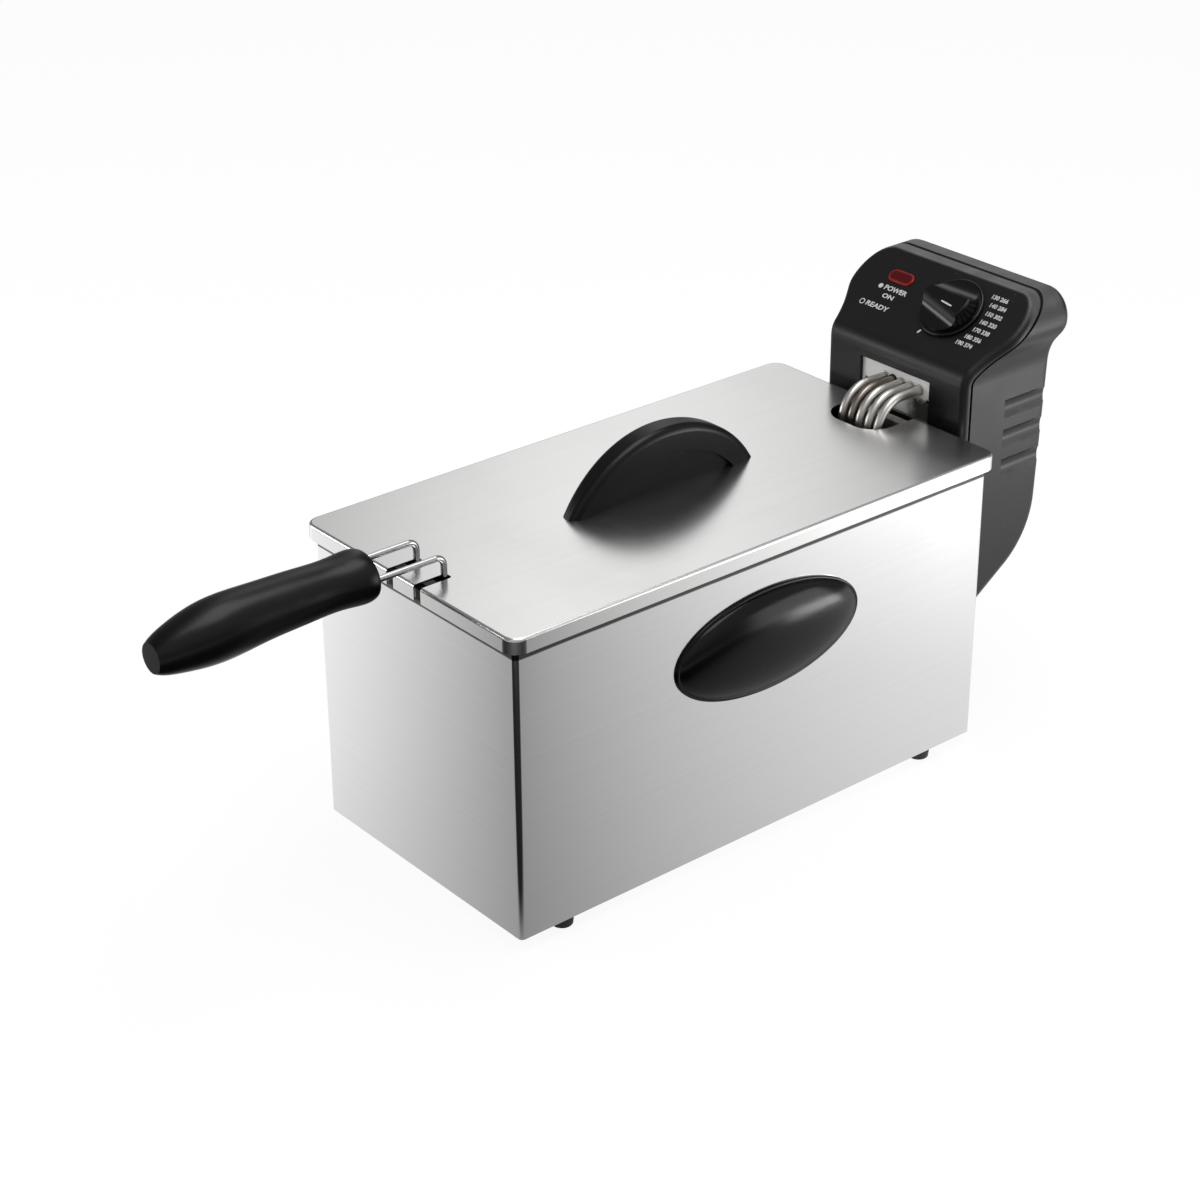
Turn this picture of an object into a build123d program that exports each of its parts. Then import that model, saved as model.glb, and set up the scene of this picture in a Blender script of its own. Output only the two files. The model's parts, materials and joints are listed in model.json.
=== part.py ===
from build123d import *
import os
from math import atan2, cos, hypot, radians, sin, sqrt, tan

# Semi-professional deep fryer: a folded steel housing on rubber feet, a lift-out oil pot,
# a plug-in control head with its heating element, a basket with a pull-out handle and a lid.
# Millimetres. +X runs from the basket handle to the control head, +Z is up, and z = 0 is the
# floor. Every piece is drawn about the middle of the housing, and write() then moves it along
# X, so that the origin is under the middle of the whole fryer.

# ---------------------------------------------------------------- driving dimensions
# Housing
housing_len = 391.0
housing_wid = 200.0
housing_height = 206.5       # lower edge to top flange
housing_wall = 0.8
housing_corner = 3.0
foot_lift = 9.0              # floor to the housing's lower edge
top_flange = 6.0             # outer face to the mouth for the pot
bottom_lip = 20.0            # outer face to the hatch that the base plate closes
base_sheet = 1.0
base_gap = 0.6               # base plate edge to the housing wall
vent_count = 9
vent_pitch = 18.0
vent_len = 52.0
vent_wid = 4.0
vent_middle = 34.0           # middle of each row of vents to the middle plane

# General clearances
contact_gap = 0.05           # between pieces that lie against each other
fit_gap = 0.1                # round a piece that drops into a hole

# Feet and screws
foot_radius = 7.8
foot_taper = 0.9             # how much narrower the foot is on the floor
foot_edge_radius = 1.2
foot_inset_x = 39.5          # end wall to the middle of a foot
foot_inset_y = 10.0          # side wall to the middle of a foot
foot_web = 4.0               # rubber between screw head and housing
screw_radius = 2.0
screw_head_radius = 3.6
screw_head_height = 2.0
screw_clearance = 0.2
screw_cross = 0.7            # width of the cross recess
screw_end = 3.0              # how far the foot screws reach through the base

# Oval side grips
grip_half_len = 76.7
grip_half_height = 35.8
grip_bulge = 14.0
grip_rim = 2.0
grip_rim_step = 1.5          # rim edge to the foot of the dome
grip_wall = 2.5
grip_offset = 3.0            # middle of the grip to the middle of the housing
grip_drop = 67.6             # housing top to the middle of the grip
grip_screw_spacing = 92.0
grip_screw_grip = 5.0        # screw length inside the boss
grip_boss_radius = 5.0

# Oil pot
pot_sheet = 1.0
pot_gap = 1.5                # pot wall to the housing's mouth
pot_depth = 171.0            # flange top to the underside of the floor
pot_taper = 1.2              # degrees
pot_corner = 22.0
pot_floor_radius = 12.0
pot_flange_inset = 1.0       # pot flange edge to the housing's outer face

# Lid
lid_overhang = 5.3
lid_sheet = 0.8
lid_rim = 10.3               # lid top to the rim's lower edge
lid_corner = 10.0
lid_edge_radius = 2.0
slot_wid = 6.8
slot_over = 3.5              # handle wire to the closed end of its slot
slot_corner = 2.0
notch_lead = 13.0            # notch's closed end to the element's legs
notch_wid = 50.0
notch_corner = 18.0

# Lid handle
arch_half_len = 76.0
arch_height = 42.5
arch_inner_half = 57.0
arch_inner_height = 25.5
arch_mid_wid = 19.0
arch_end_wid = 12.0
arch_round = 5.0
web_thick = 8.0
arch_screw_x = 62.0
arch_screw_depth = 8.0

# Basket
basket_wid = 150.0
basket_height = 122.0
basket_wall = 1.2
basket_taper = 2.6           # degrees
basket_corner = 18.0
basket_floor_radius = 8.0
basket_behind_wire = 8.5     # handle wires to the basket's front wall
basket_rear_room = 33.0      # basket's rear wall to the element's legs
basket_wire = 2.0            # radius of the frame wire
basket_rest_gap = 0.35       # runners above the element
runner_inset = 68.0          # end of the basket to the nearer runner
runner_bend = 8.0

# Basket handle
handle_wire = 2.0
handle_wire_y = 13.7
handle_wire_inset = 15.0     # housing's front wall to the wires
handle_wire_rise = 13.7      # lid top to the wires
handle_bend = 6.0
handle_socket_depth = 22.0
socket_clearance = 0.05
socket_wall = 2.0
socket_floor_gap = 1.0
bracket_sheet = 1.5
bracket_wid = 46.0
bracket_under = 8.0          # bracket plate below the sockets
bracket_corner = 4.0
grip_gap = 33.0              # housing's front wall to the grip
grip_len = 144.5
grip_insert = 60.0           # length of wire held inside the grip
grip_taper_in = 24.0         # over this length the wires draw together
handle_wire_in_y = 7.5
grip_widening = 2.6

# Control head, measured back from the housing's rear wall and up from its top
head_foot_gap = 1.5          # rear wall to the head below the lid
head_stand_off = 14.3        # rear wall to the head's front face above the lid
head_depth = 93.0            # rear wall to the back, at head_heel_drop
head_step_drop = 12.0        # where the front steps forward under the lid
head_heel_drop = 72.5
head_rear_lean = 2.7         # degrees
head_slope_back = 46.8       # a point on the sloping underside
head_slope_drop = 129.1
head_slope_angle = 34.0
panel_angle = 37.5
panel_rise = 44.6            # fold to the highest point
stem_half = 64.5
stem_drop = 166.5
flare_half = 77.7
flare_start = 1.9            # above the fold
flare_end = 18.8             # above the fold
head_wall = 2.8
front_edge_radius = 5.0
rear_edge_radius = 6.0
head_foot_radius = 8.0
head_step_radius = 1.0
head_heel_radius = 60.0
stem_low_radius = 12.0
fold_radius = 15.0
flare_hollow_radius = 30.0
flare_low_radius = 15.0
flare_top_radius = 20.0
seam_depth = 5.6
seam_gap = 2.0
seam_groove = 1.5
scallop_start = 54.5         # rear wall to the scallops
scallop_rise = 5.3           # housing top up to the middle of the topmost scallop
scallop_count = 3
scallop_pitch = 21.65
scallop_chord = 13.5
scallop_depth = 3.0
scallop_backing = 3.2        # extra wall behind the scallops

# Panel: places are up the slope from the fold, and towards +Y
knob_up = 43.9
knob_side = -17.2
knob_skirt_radius = 23.5
knob_skirt = 2.0
knob_radius = 20.8
knob_top_radius = 19.4
knob_top_edge = 1.4
knob_height = 13.0
knob_gap = 0.6               # above the panel
knob_ridge = 9.0
knob_scoop_radius = 14.0
knob_scoop_floor = 4.0
knob_toe = 7.0               # degrees between each side of the ridge and its middle
knob_pointing = 97.0         # degrees clockwise from up the slope, as stored
knob_fit = 0.02
spindle_radius = 3.0
spindle_in_knob = 9.0
spindle_flat = 0.5           # depth of the flat on the spindle
spindle_below = 12.0
bush_radius = 5.0
bush_under_knob = 0.2
thermostat_size = 34.0
thermostat_depth = 18.0
thermostat_corner = 3.0
blade_wid = 6.3
blade_thick = 0.8
blade_len = 7.0
blade_pitch = 10.0
lens_up = 52.2
lens_side = 36.8
lens_len = 22.0
lens_wid = 10.0
lens_proud = 1.2
lens_edge = 0.9
lens_flange = 2.0
lens_flange_sheet = 1.2
lamp_radius = 2.6
lamp_drop = 9.0              # lens flange to the lamp holder

# Element, its plate and the sensor
tube_radius = 3.0
tube_y = (11.5, -4.5, -13.0, -21.5)
tube_rise = 14.4             # lid top to the middle of the tubes
tube_drop_inset = 22.5       # housing's rear wall to the legs
tube_bend = 22.0
tube_in_head = 28.2          # head's front face to the tubes' ends
tube_floor_gap = 7.2         # pot floor to the underside of the tubes
outer_loop_half = 56.0
inner_loop_half = 24.0
loop_end_room = 55.5         # housing's front wall to the outer loop
loop_rear_bend = 16.0
loop_turn = 0.8              # corner radius of a loop, as a share of its half width
leg_spread_top = 46.5        # the legs spread apart between these depths under the tubes' exit
leg_spread_end = 126.5
leg_bend = 14.0
pin_radius = 1.2
pin_len = 9.0
sensor_radius = 2.6
sensor_y = 3.5
sensor_floor_y = 40.0
sensor_reach = 153.0         # legs to the tip of the bulb
ferrule_radius = 3.7
ferrule_len = 5.0
ferrule_proud = 1.2
grommet_radius = 3.6
grommet_len = 3.8
grommet_proud = 0.8
window_half = 32.5
window_over = 9.3            # middle of the tubes to the window's upper edge
window_under = 20.7          # middle of the tubes to the window's lower edge
window_to_fold = 12.4
plate_sheet = 1.5
plate_lap = 7.5              # plate beyond the window at its sides
plate_over = 4.0             # plate beyond the window at its upper edge
plate_under = 6.0            # plate beyond the window at its lower edge
plate_corner = 3.0
plate_hole_radius = 1.5
plate_hole_inset = 4.0
plate_hole_rise = 14.0
clip_wid = 7.0
clip_count = 3
clip_front_room = 58.0       # outer loop's end to the first clip
clip_rear_room = 67.0        # legs to the last clip
clip_thick = 4.0
clip_lap = 10.0              # clip beyond the outer loop
clip_cover = 0.6             # middle of the tubes to the top of the clip
clip_foot_gap = 0.3

# Hook between head and housing, down from the housing's top
bracket_drop = 57.5
bracket_high = 58.0
bracket_sheet_rear = 1.2
bracket_ear = 38.0
rail_half = 28.0
rail_depth = 5.0
lip_half = 21.0
hook_half = 26.0
hook_sheet = 1.6
hook_gap = 0.5
hook_neck_half = 19.0
hook_lead = 3.0              # bracket's lower end to the hook's
hook_cap = 3.5
pocket_half = 41.0
pocket_depth = 6.0
pocket_over = 7.0            # pocket above the bracket
rivet_y = 33.0
rivet_radius = 1.6
rivet_inset = 8.0
rivet_head = 1.0

# Rear of the head, down from the housing's top
post_y = 51.0
post_low_drop = 53.5
post_high_rise = 22.5
post_radius = 4.0
head_screw_len = 14.0
screw_seat = 1.2             # how deep the screw heads sit in the casing
reset_y = 0.0
reset_drop = 50.5
reset_radius = 6.0
reset_proud = 2.6
reset_edge = 1.2
reset_travel = 1.8
reset_stem = 6.0
reset_stem_radius = 3.0
reset_shoulder = 1.8
reset_fit = 0.08
cutout_radius = 9.0
cutout_depth = 10.0
cutout_ear = 14.0
gland_y = 28.0
gland_drop = 54.5
gland_radius = 6.5
gland_flange = 9.0
gland_flange_thick = 2.6
gland_bore = 3.5
gland_seat = 0.6
gland_len = 12.0
interlock_drop = 99.5
interlock_size = (10.0, 14.0, 28.0)
interlock_hole_pitch = 18.0
terminal_size = (12.0, 44.0, 18.0)
terminal_ways = 4
terminal_pitch = 10.0

# ---------------------------------------------------------------- places worked out from them
housing_top = foot_lift + housing_height
front_wall_x = -housing_len / 2
rear_wall_x = housing_len / 2
foot_x = rear_wall_x - foot_inset_x
foot_y = housing_wid / 2 - foot_inset_y
grip_z = housing_top - grip_drop
mouth_len = housing_len - 2 * top_flange
mouth_wid = housing_wid - 2 * top_flange
pot_len = mouth_len - 2 * pot_gap
pot_wid = mouth_wid - 2 * pot_gap
lid_len = housing_len + 2 * lid_overhang
lid_wid = housing_wid + 2 * lid_overhang
lid_under = housing_top + pot_sheet
lid_top = lid_under + lid_sheet
pot_floor_z = lid_under - pot_depth + pot_sheet

tube_exit_z = lid_top + tube_rise
tube_floor_z = pot_floor_z + tube_floor_gap + tube_radius
tube_drop_x = rear_wall_x - tube_drop_inset
loop_front_x = front_wall_x + loop_end_room
sensor_end_x = tube_drop_x - sensor_reach
clip_first_x = loop_front_x + clip_front_room
clip_last_x = tube_drop_x - clip_rear_room
clip_step = (clip_last_x - clip_first_x) / (clip_count - 1)
clip_x = [clip_first_x + i * clip_step for i in range(clip_count)]
notch_front_x = tube_drop_x - notch_lead
notch_y = (tube_y[0] + tube_y[-1]) / 2

handle_wire_x = front_wall_x + handle_wire_inset
handle_wire_z = lid_top + handle_wire_rise
slot_end_x = handle_wire_x + slot_over
grip_start_x = front_wall_x - grip_gap
grip_end_x = grip_start_x - grip_len
basket_front_x = handle_wire_x + basket_behind_wire
basket_rear_x = tube_drop_x - basket_rear_room
basket_len = basket_rear_x - basket_front_x
basket_x = (basket_rear_x + basket_front_x) / 2
runner_x = basket_len / 2 - runner_inset
runner_z = tube_floor_z + tube_radius + basket_rest_gap + basket_wire
basket_floor_z = runner_z + basket_wire + contact_gap
basket_rim_z = basket_floor_z + basket_height

head_foot_x = rear_wall_x + head_foot_gap
head_front_x = rear_wall_x + head_stand_off
plate_front_x = head_front_x + head_wall
tube_end_x = head_front_x + tube_in_head
head_step_z = housing_top - head_step_drop
window_low_z = tube_exit_z - window_under
window_high_z = tube_exit_z + window_over
fold_z = window_high_z + window_to_fold
head_top_z = fold_z + panel_rise
head_rear_x = rear_wall_x + head_depth
head_rear_z = housing_top - head_heel_drop
head_slope_x = rear_wall_x + head_slope_back
head_slope_z = housing_top - head_slope_drop
scallop_x = rear_wall_x + scallop_start
scallop_z = [housing_top + scallop_rise - i * scallop_pitch for i in range(scallop_count)]
hook_high_z = housing_top - bracket_drop
hook_low_z = hook_high_z - bracket_high
pocket_top_z = hook_high_z + pocket_over
post_z = (housing_top - post_low_drop, housing_top + post_high_rise)
reset_z = housing_top - reset_drop
gland_z = housing_top - gland_drop
interlock_z = housing_top - interlock_drop
slope_tan = tan(radians(head_slope_angle))
lean_tan = tan(radians(head_rear_lean))
panel_cos = cos(radians(panel_angle))
panel_sin = sin(radians(panel_angle))
reach_rear = head_rear_x + (head_top_z - rear_edge_radius - head_rear_z) * lean_tan
origin_x = (grip_end_x + reach_rear) / 2


# ---------------------------------------------------------------- helpers
def write(name, shape):
    export_step(Pos(-origin_x, 0, 0) * shape, "parts/" + name + ".step")


def rounded_face(corners):
    """Flat face in XY whose corners (x, y, radius) are rounded by tangent arcs."""
    edges = []
    count = len(corners)
    starts = []
    ends = []
    middles = []
    for i in range(count):
        x, y, radius = corners[i]
        xa, ya, _ = corners[i - 1]
        xb, yb, _ = corners[(i + 1) % count]
        back = hypot(xa - x, ya - y)
        ahead = hypot(xb - x, yb - y)
        ux, uy = (xa - x) / back, (ya - y) / back
        vx, vy = (xb - x) / ahead, (yb - y) / ahead
        half = atan2(abs(ux * vy - uy * vx), ux * vx + uy * vy) / 2
        reach = radius / tan(half)
        wx, wy = ux + vx, uy + vy
        length = hypot(wx, wy)
        inward = radius / sin(half) - radius
        starts.append((x + ux * reach, y + uy * reach))
        ends.append((x + vx * reach, y + vy * reach))
        middles.append((x + wx / length * inward, y + wy / length * inward))
    for i in range(count):
        if corners[i][2] > 0:
            edges.append(ThreePointArc(starts[i], middles[i], ends[i]))
        edges.append(Line(ends[i], starts[(i + 1) % count]))
    return make_face(edges)


def rounded_box(length, width, radius, low, high):
    return Pos(0, 0, low) * extrude(RectangleRounded(length, width, radius), high - low)


def rod(radius, start, end):
    """Round bar between two points."""
    line = Line(start, end)
    return sweep(Plane(origin=start, z_dir=line % 0) * Circle(radius), path=line)


def wire_rod(radius, points, bend):
    """Round bar along straight runs joined by arcs of one radius."""
    path = FilletPolyline(*points, radius=bend)
    return sweep(Plane(origin=path @ 0, z_dir=path % 0) * Circle(radius), path=path)


def pan_screw(head_radius, head_height, shank_radius, length):
    """Screw with its head's underside at z = 0 and its shank along -Z."""
    head = extrude(Circle(head_radius), head_height)
    head = fillet(head.edges().group_by(Axis.Z)[-1], head_height * 0.45)
    arm = head_radius * 1.1
    cross = Box(arm, screw_cross, head_height) + Box(screw_cross, arm, head_height)
    shank = Pos(0, 0, -length / 2) * Cylinder(shank_radius, length)
    return head + shank - Pos(0, 0, head_height) * cross


def panel_place(up, side):
    """Plane on the sloping panel: local Z points out of it and local Y up the slope."""
    origin = (head_front_x + up * panel_cos, side, fold_z + up * panel_sin)
    return Plane(origin=origin, x_dir=(0, -1, 0), z_dir=(-panel_sin, 0, panel_cos))


def four(x, y):
    return [(sx * x, sy * y) for sx in (-1, 1) for sy in (-1, 1)]


# ---------------------------------------------------------------- housing
def housing_shell():
    wall = housing_wall
    inner = housing_corner - wall
    body = rounded_box(housing_len, housing_wid, housing_corner, foot_lift, housing_top)
    body -= rounded_box(
        housing_len - 2 * wall, housing_wid - 2 * wall, inner, foot_lift + wall, housing_top - wall
    )
    body -= rounded_box(mouth_len, mouth_wid, pot_corner + pot_gap, foot_lift + wall, housing_top + 1)
    body -= rounded_box(
        housing_len - 2 * bottom_lip, housing_wid - 2 * bottom_lip, inner, foot_lift - 1, housing_top / 2
    )
    for x, y in four(foot_x, foot_y):
        body -= Pos(x, y, foot_lift) * Cylinder(screw_radius + screw_clearance, 6 * wall)
    for x, z in grip_screw_places():
        body -= Pos(x, 0, z) * Rot(90, 0, 0) * Cylinder(screw_radius + screw_clearance, 2 * housing_wid)
    for y, z in rivet_places():
        body -= Pos(rear_wall_x, y, z) * Rot(0, 90, 0) * Cylinder(rivet_radius + contact_gap, 6 * wall)
    return body


def base_plate():
    edge = housing_wall + base_gap
    low = foot_lift + housing_wall
    plate = rounded_box(
        housing_len - 2 * edge, housing_wid - 2 * edge, housing_corner - edge, low, low + base_sheet
    )
    slot = Rot(0, 0, 90) * SlotOverall(vent_len, vent_wid)
    slots = [
        Pos((i - (vent_count - 1) / 2) * vent_pitch, side * vent_middle) * slot
        for i in range(vent_count)
        for side in (-1, 1)
    ]
    plate -= Pos(0, 0, low - 1) * extrude(Sketch() + slots, base_sheet + 2)
    for x, y in four(foot_x, foot_y):
        plate -= Pos(x, y, low) * Cylinder(screw_radius + contact_gap, 6 * base_sheet)
    return plate


def rubber_feet():
    foot = Pos(0, 0, foot_lift / 2) * Cone(foot_radius - foot_taper, foot_radius, foot_lift)
    foot = fillet(foot.edges().group_by(Axis.Z)[0], foot_edge_radius)
    recess = foot_lift - foot_web
    foot -= Pos(0, 0, recess / 2) * Cylinder(screw_head_radius + screw_clearance, recess)
    foot -= Pos(0, 0, foot_lift / 2) * Cylinder(screw_radius + screw_clearance, foot_lift)
    return Compound([Pos(x, y, 0) * foot for x, y in four(foot_x, foot_y)])


def foot_screws():
    seat = foot_lift - foot_web
    length = foot_web + housing_wall + base_sheet + screw_end
    screw = Rot(180, 0, 0) * pan_screw(screw_head_radius, screw_head_height, screw_radius, length)
    return Compound([Pos(x, y, seat) * screw for x, y in four(foot_x, foot_y)])


def grip_screw_places():
    return [(grip_offset + side * grip_screw_spacing / 2, grip_z) for side in (-1, 1)]


def side_grip():
    """Domed oval grip on the -Y wall, hollow behind, with two screw bosses."""
    face_y = -housing_wid / 2
    rim = extrude(Plane.XZ * Ellipse(grip_half_len, grip_half_height), grip_rim)
    rim = fillet(rim.edges().group_by(Axis.Y)[0], grip_rim * 0.6)

    def dome(inset):
        half_len = grip_half_len - grip_rim_step - inset
        half_height = grip_half_height - grip_rim_step - inset
        bulge = grip_bulge - inset
        ball = scale(Sphere(half_height), by=(half_len / half_height, bulge / half_height, 1))
        return ball & Pos(0, -grip_bulge, 0) * Box(3 * half_len, 2 * grip_bulge, 3 * half_height)

    solid = rim + dome(0) - dome(grip_wall)
    for x, z in grip_screw_places():
        boss = Pos(x - grip_offset, -grip_bulge / 2, 0) * Rot(90, 0, 0)
        solid += boss * Cylinder(grip_boss_radius, grip_bulge) & dome(0)
        pilot = Pos(x - grip_offset, 0, 0) * Rot(90, 0, 0)
        solid -= pilot * Cylinder(screw_radius + contact_gap, grip_bulge)
    return Pos(grip_offset, face_y, grip_z) * solid


def grip_screws():
    screws = []
    head_y = housing_wid / 2 - housing_wall
    length = housing_wall + grip_screw_grip
    screw = pan_screw(screw_head_radius, screw_head_height, screw_radius, length)
    for x, z in grip_screw_places():
        screws.append(Pos(x, -head_y, z) * Rot(-90, 0, 0) * screw)
        screws.append(Pos(x, head_y, z) * Rot(90, 0, 0) * screw)
    return Compound(screws)


def rivet_places():
    heights = (hook_low_z + rivet_inset, hook_high_z - rivet_inset)
    return [(y, z) for y in (-rivet_y, rivet_y) for z in heights]


def rear_bracket():
    """Riveted channel on the rear wall. Its two lips hold the head's hook plate."""
    height = bracket_high
    middle = (hook_high_z + hook_low_z) / 2
    sheet = bracket_sheet_rear
    web = Pos(sheet / 2, 0, 0) * Box(sheet, 2 * bracket_ear, height)
    channel = web
    for side in (-1, 1):
        channel += Pos(rail_depth / 2, side * (rail_half - sheet / 2), 0) * Box(rail_depth, sheet, height)
        lip_wid = rail_half - lip_half
        channel += Pos(rail_depth - sheet / 2, side * (lip_half + lip_wid / 2), 0) * Box(
            sheet, lip_wid, height
        )
    channel = fillet(web_corners(channel), bracket_corner)
    channel = Pos(rear_wall_x, 0, middle) * channel
    for y, z in rivet_places():
        channel -= Pos(rear_wall_x, y, z) * Rot(0, 90, 0) * Cylinder(rivet_radius + contact_gap, 4 * sheet)
    return channel


def web_corners(channel):
    """Short edges at the four corners of the bracket's web."""
    edges = channel.edges().filter_by(Axis.X)
    return [e for e in edges if abs(abs(e.center().Y) - bracket_ear) < 0.01]


def bracket_rivets():
    inside = rear_wall_x - housing_wall
    outside = rear_wall_x + bracket_sheet_rear
    head = Cylinder(2 * rivet_radius, rivet_head)
    rivet = Pos((inside + outside) / 2, 0, 0) * Rot(0, 90, 0) * Cylinder(rivet_radius, outside - inside)
    rivet += Pos(inside - rivet_head / 2, 0, 0) * Rot(0, 90, 0) * head
    rivet += Pos(outside + rivet_head / 2, 0, 0) * Rot(0, 90, 0) * head
    return Compound([Pos(0, y, z) * rivet for y, z in rivet_places()])


# ---------------------------------------------------------------- oil pot
def pot_form(inset):
    plan = RectangleRounded(pot_len - 2 * inset, pot_wid - 2 * inset, pot_corner - inset)
    body = extrude(Pos(0, 0, lid_under) * plan, -(pot_depth - inset), taper=pot_taper)
    return fillet(body.edges().group_by(Axis.Z)[0], pot_floor_radius - inset)


def oil_pot():
    edge = 2 * pot_flange_inset
    flange = rounded_box(
        housing_len - edge, housing_wid - edge, housing_corner, housing_top, housing_top + pot_sheet
    )
    return flange + pot_form(0) - pot_form(pot_sheet)


# ---------------------------------------------------------------- lid
def lid_form(inset):
    body = rounded_box(
        lid_len - 2 * inset, lid_wid - 2 * inset, lid_corner - inset, lid_top - lid_rim, lid_top - inset
    )
    return fillet(body.edges().group_by(Axis.Z)[-1], lid_edge_radius - inset)


def lid_panel():
    lid = lid_form(0) - lid_form(lid_sheet)
    front_x = -lid_len / 2
    for side in (-1, 1):
        slot = rounded_face(
            [
                (front_x - 1, side * handle_wire_y - slot_wid / 2, 0),
                (slot_end_x, side * handle_wire_y - slot_wid / 2, slot_corner),
                (slot_end_x, side * handle_wire_y + slot_wid / 2, slot_corner),
                (front_x - 1, side * handle_wire_y + slot_wid / 2, 0),
            ]
        )
        lid -= Pos(0, 0, lid_top - 2 * lid_rim) * extrude(slot, 3 * lid_rim)
    rear_x = lid_len / 2 + 1
    notch = rounded_face(
        [
            (rear_x, notch_y - notch_wid / 2, 0),
            (rear_x, notch_y + notch_wid / 2, 0),
            (notch_front_x, notch_y + notch_wid / 2, notch_corner),
            (notch_front_x, notch_y - notch_wid / 2, notch_corner),
        ]
    )
    lid -= Pos(0, 0, lid_top - 2 * lid_rim) * extrude(notch, 3 * lid_rim)
    for side in (-1, 1):
        lid -= Pos(side * arch_screw_x, 0, lid_top) * Cylinder(screw_radius + screw_clearance, 6 * lid_sheet)
    return lid


def arch_segment(half, height):
    """Face between a chord on X and the arc above it."""
    return make_face([ThreePointArc((-half, 0), (0, height), (half, 0)), Line((half, 0), (-half, 0))])


def arch_plan(mid_wid, end_wid, half):
    """Leaf-shaped plan with blunt ends."""
    mid, end = mid_wid / 2, end_wid / 2
    edges = [
        ThreePointArc((-half, -end), (0, -mid), (half, -end)),
        Line((half, -end), (half, end)),
        ThreePointArc((half, end), (0, mid), (-half, end)),
        Line((-half, end), (-half, -end)),
    ]
    return make_face(edges)


def lid_handle():
    upright = Plane.XZ
    crescent = arch_segment(arch_half_len, arch_height) - arch_segment(arch_inner_half, arch_inner_height)
    bow = extrude(upright * crescent, arch_mid_wid, both=True)
    plan = arch_plan(arch_mid_wid, arch_end_wid, arch_half_len + 1)
    bow &= extrude(plan, 2 * arch_height)
    crown = [e for e in bow.edges() if e.center().Z > arch_inner_height and e.length > arch_half_len]
    bow = fillet(crown, arch_round)
    web = arch_segment(arch_inner_half + 2, arch_inner_height + 2)
    bow += extrude(upright * web, web_thick / 2, both=True)
    for side in (-1, 1):
        pilot = Pos(side * arch_screw_x, 0, arch_screw_depth / 2)
        bow -= pilot * Cylinder(screw_radius + contact_gap, arch_screw_depth)
    return Pos(0, 0, lid_top) * bow


def lid_handle_screws():
    length = lid_sheet + arch_screw_depth - 1.0
    screw = Rot(180, 0, 0) * pan_screw(screw_head_radius, screw_head_height, screw_radius, length)
    return Compound([Pos(side * arch_screw_x, 0, lid_under) * screw for side in (-1, 1)])


# ---------------------------------------------------------------- basket
def basket_half(z, size):
    """Half the basket's outer size at height z."""
    return size / 2 - (basket_rim_z - z) * tan(radians(basket_taper))


def basket_form(inset):
    plan = RectangleRounded(basket_len - 2 * inset, basket_wid - 2 * inset, basket_corner - inset)
    body = extrude(Pos(0, 0, basket_rim_z) * plan, -(basket_height - inset), taper=basket_taper)
    body = fillet(body.edges().group_by(Axis.Z)[0], basket_floor_radius - inset)
    return Pos(basket_x, 0, 0) * body


def basket_mesh():
    return basket_form(0) - basket_form(basket_wall)


def basket_frame():
    wire = basket_wire
    rim_z = basket_rim_z + wire + contact_gap
    rim = RectangleRounded(basket_len - wire, basket_wid - wire, basket_corner).wire()
    rim = Pos(basket_x, 0, rim_z) * rim
    frame = sweep(Plane(origin=rim @ 0, z_dir=rim % 0) * Circle(wire), path=rim)
    top_y = basket_half(rim_z, basket_wid) + wire + contact_gap
    low_y = basket_half(runner_z, basket_wid) + wire + contact_gap
    for side in (-1, 1):
        x = basket_x + side * runner_x
        points = [(x, -top_y, rim_z), (x, -low_y, runner_z), (x, low_y, runner_z), (x, top_y, rim_z)]
        frame += wire_rod(wire, points, runner_bend)
    return frame


def handle_bracket():
    """Plate on the basket's front wall with two sockets for the handle wires."""
    wall_x = basket_front_x - contact_gap
    plate_x = wall_x - bracket_sheet
    top = basket_rim_z - contact_gap
    low = top - handle_socket_depth - bracket_under
    plate = Pos((wall_x + plate_x) / 2, 0, (top + low) / 2) * Box(bracket_sheet, bracket_wid, top - low)
    plate = fillet(plate.edges().filter_by(Axis.X), bracket_corner)
    block_r = handle_wire + socket_wall
    for side in (-1, 1):
        y = side * handle_wire_y
        block = rounded_face(
            [
                (plate_x, y - block_r, 0),
                (plate_x, y + block_r, 0),
                (handle_wire_x - block_r, y + block_r, block_r * 0.9),
                (handle_wire_x - block_r, y - block_r, block_r * 0.9),
            ]
        )
        plate += Pos(0, 0, top - handle_socket_depth) * extrude(block, handle_socket_depth)
        bore = Pos(handle_wire_x, y, top) * Cylinder(handle_wire + socket_clearance, 2 * basket_height)
        plate -= bore
    return plate


# ---------------------------------------------------------------- basket handle
def handle_wires():
    low = basket_rim_z - contact_gap - handle_socket_depth + socket_floor_gap
    wires = []
    for side in (-1, 1):
        y, in_y = side * handle_wire_y, side * handle_wire_in_y
        points = [
            (handle_wire_x, y, low),
            (handle_wire_x, y, handle_wire_z),
            (grip_start_x, y, handle_wire_z),
            (grip_start_x - grip_taper_in + handle_wire, in_y, handle_wire_z),
            (grip_start_x - grip_insert, in_y, handle_wire_z),
        ]
        wires.append(wire_rod(handle_wire, points, handle_bend).solid())
    return Compound(wires)


# Grip stations: share of the length from the wires, radius, drop of the middle
grip_stations = (
    (0.00, 15.0, 1.4),
    (0.02, 16.0, 1.4),
    (0.10, 15.9, 1.2),
    (0.24, 15.5, 1.0),
    (0.45, 16.9, 1.2),
    (0.66, 18.7, 2.4),
    (0.80, 17.6, 3.8),
    (0.93, 13.6, 5.6),
    (1.00, 9.4, 6.6),
)


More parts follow.
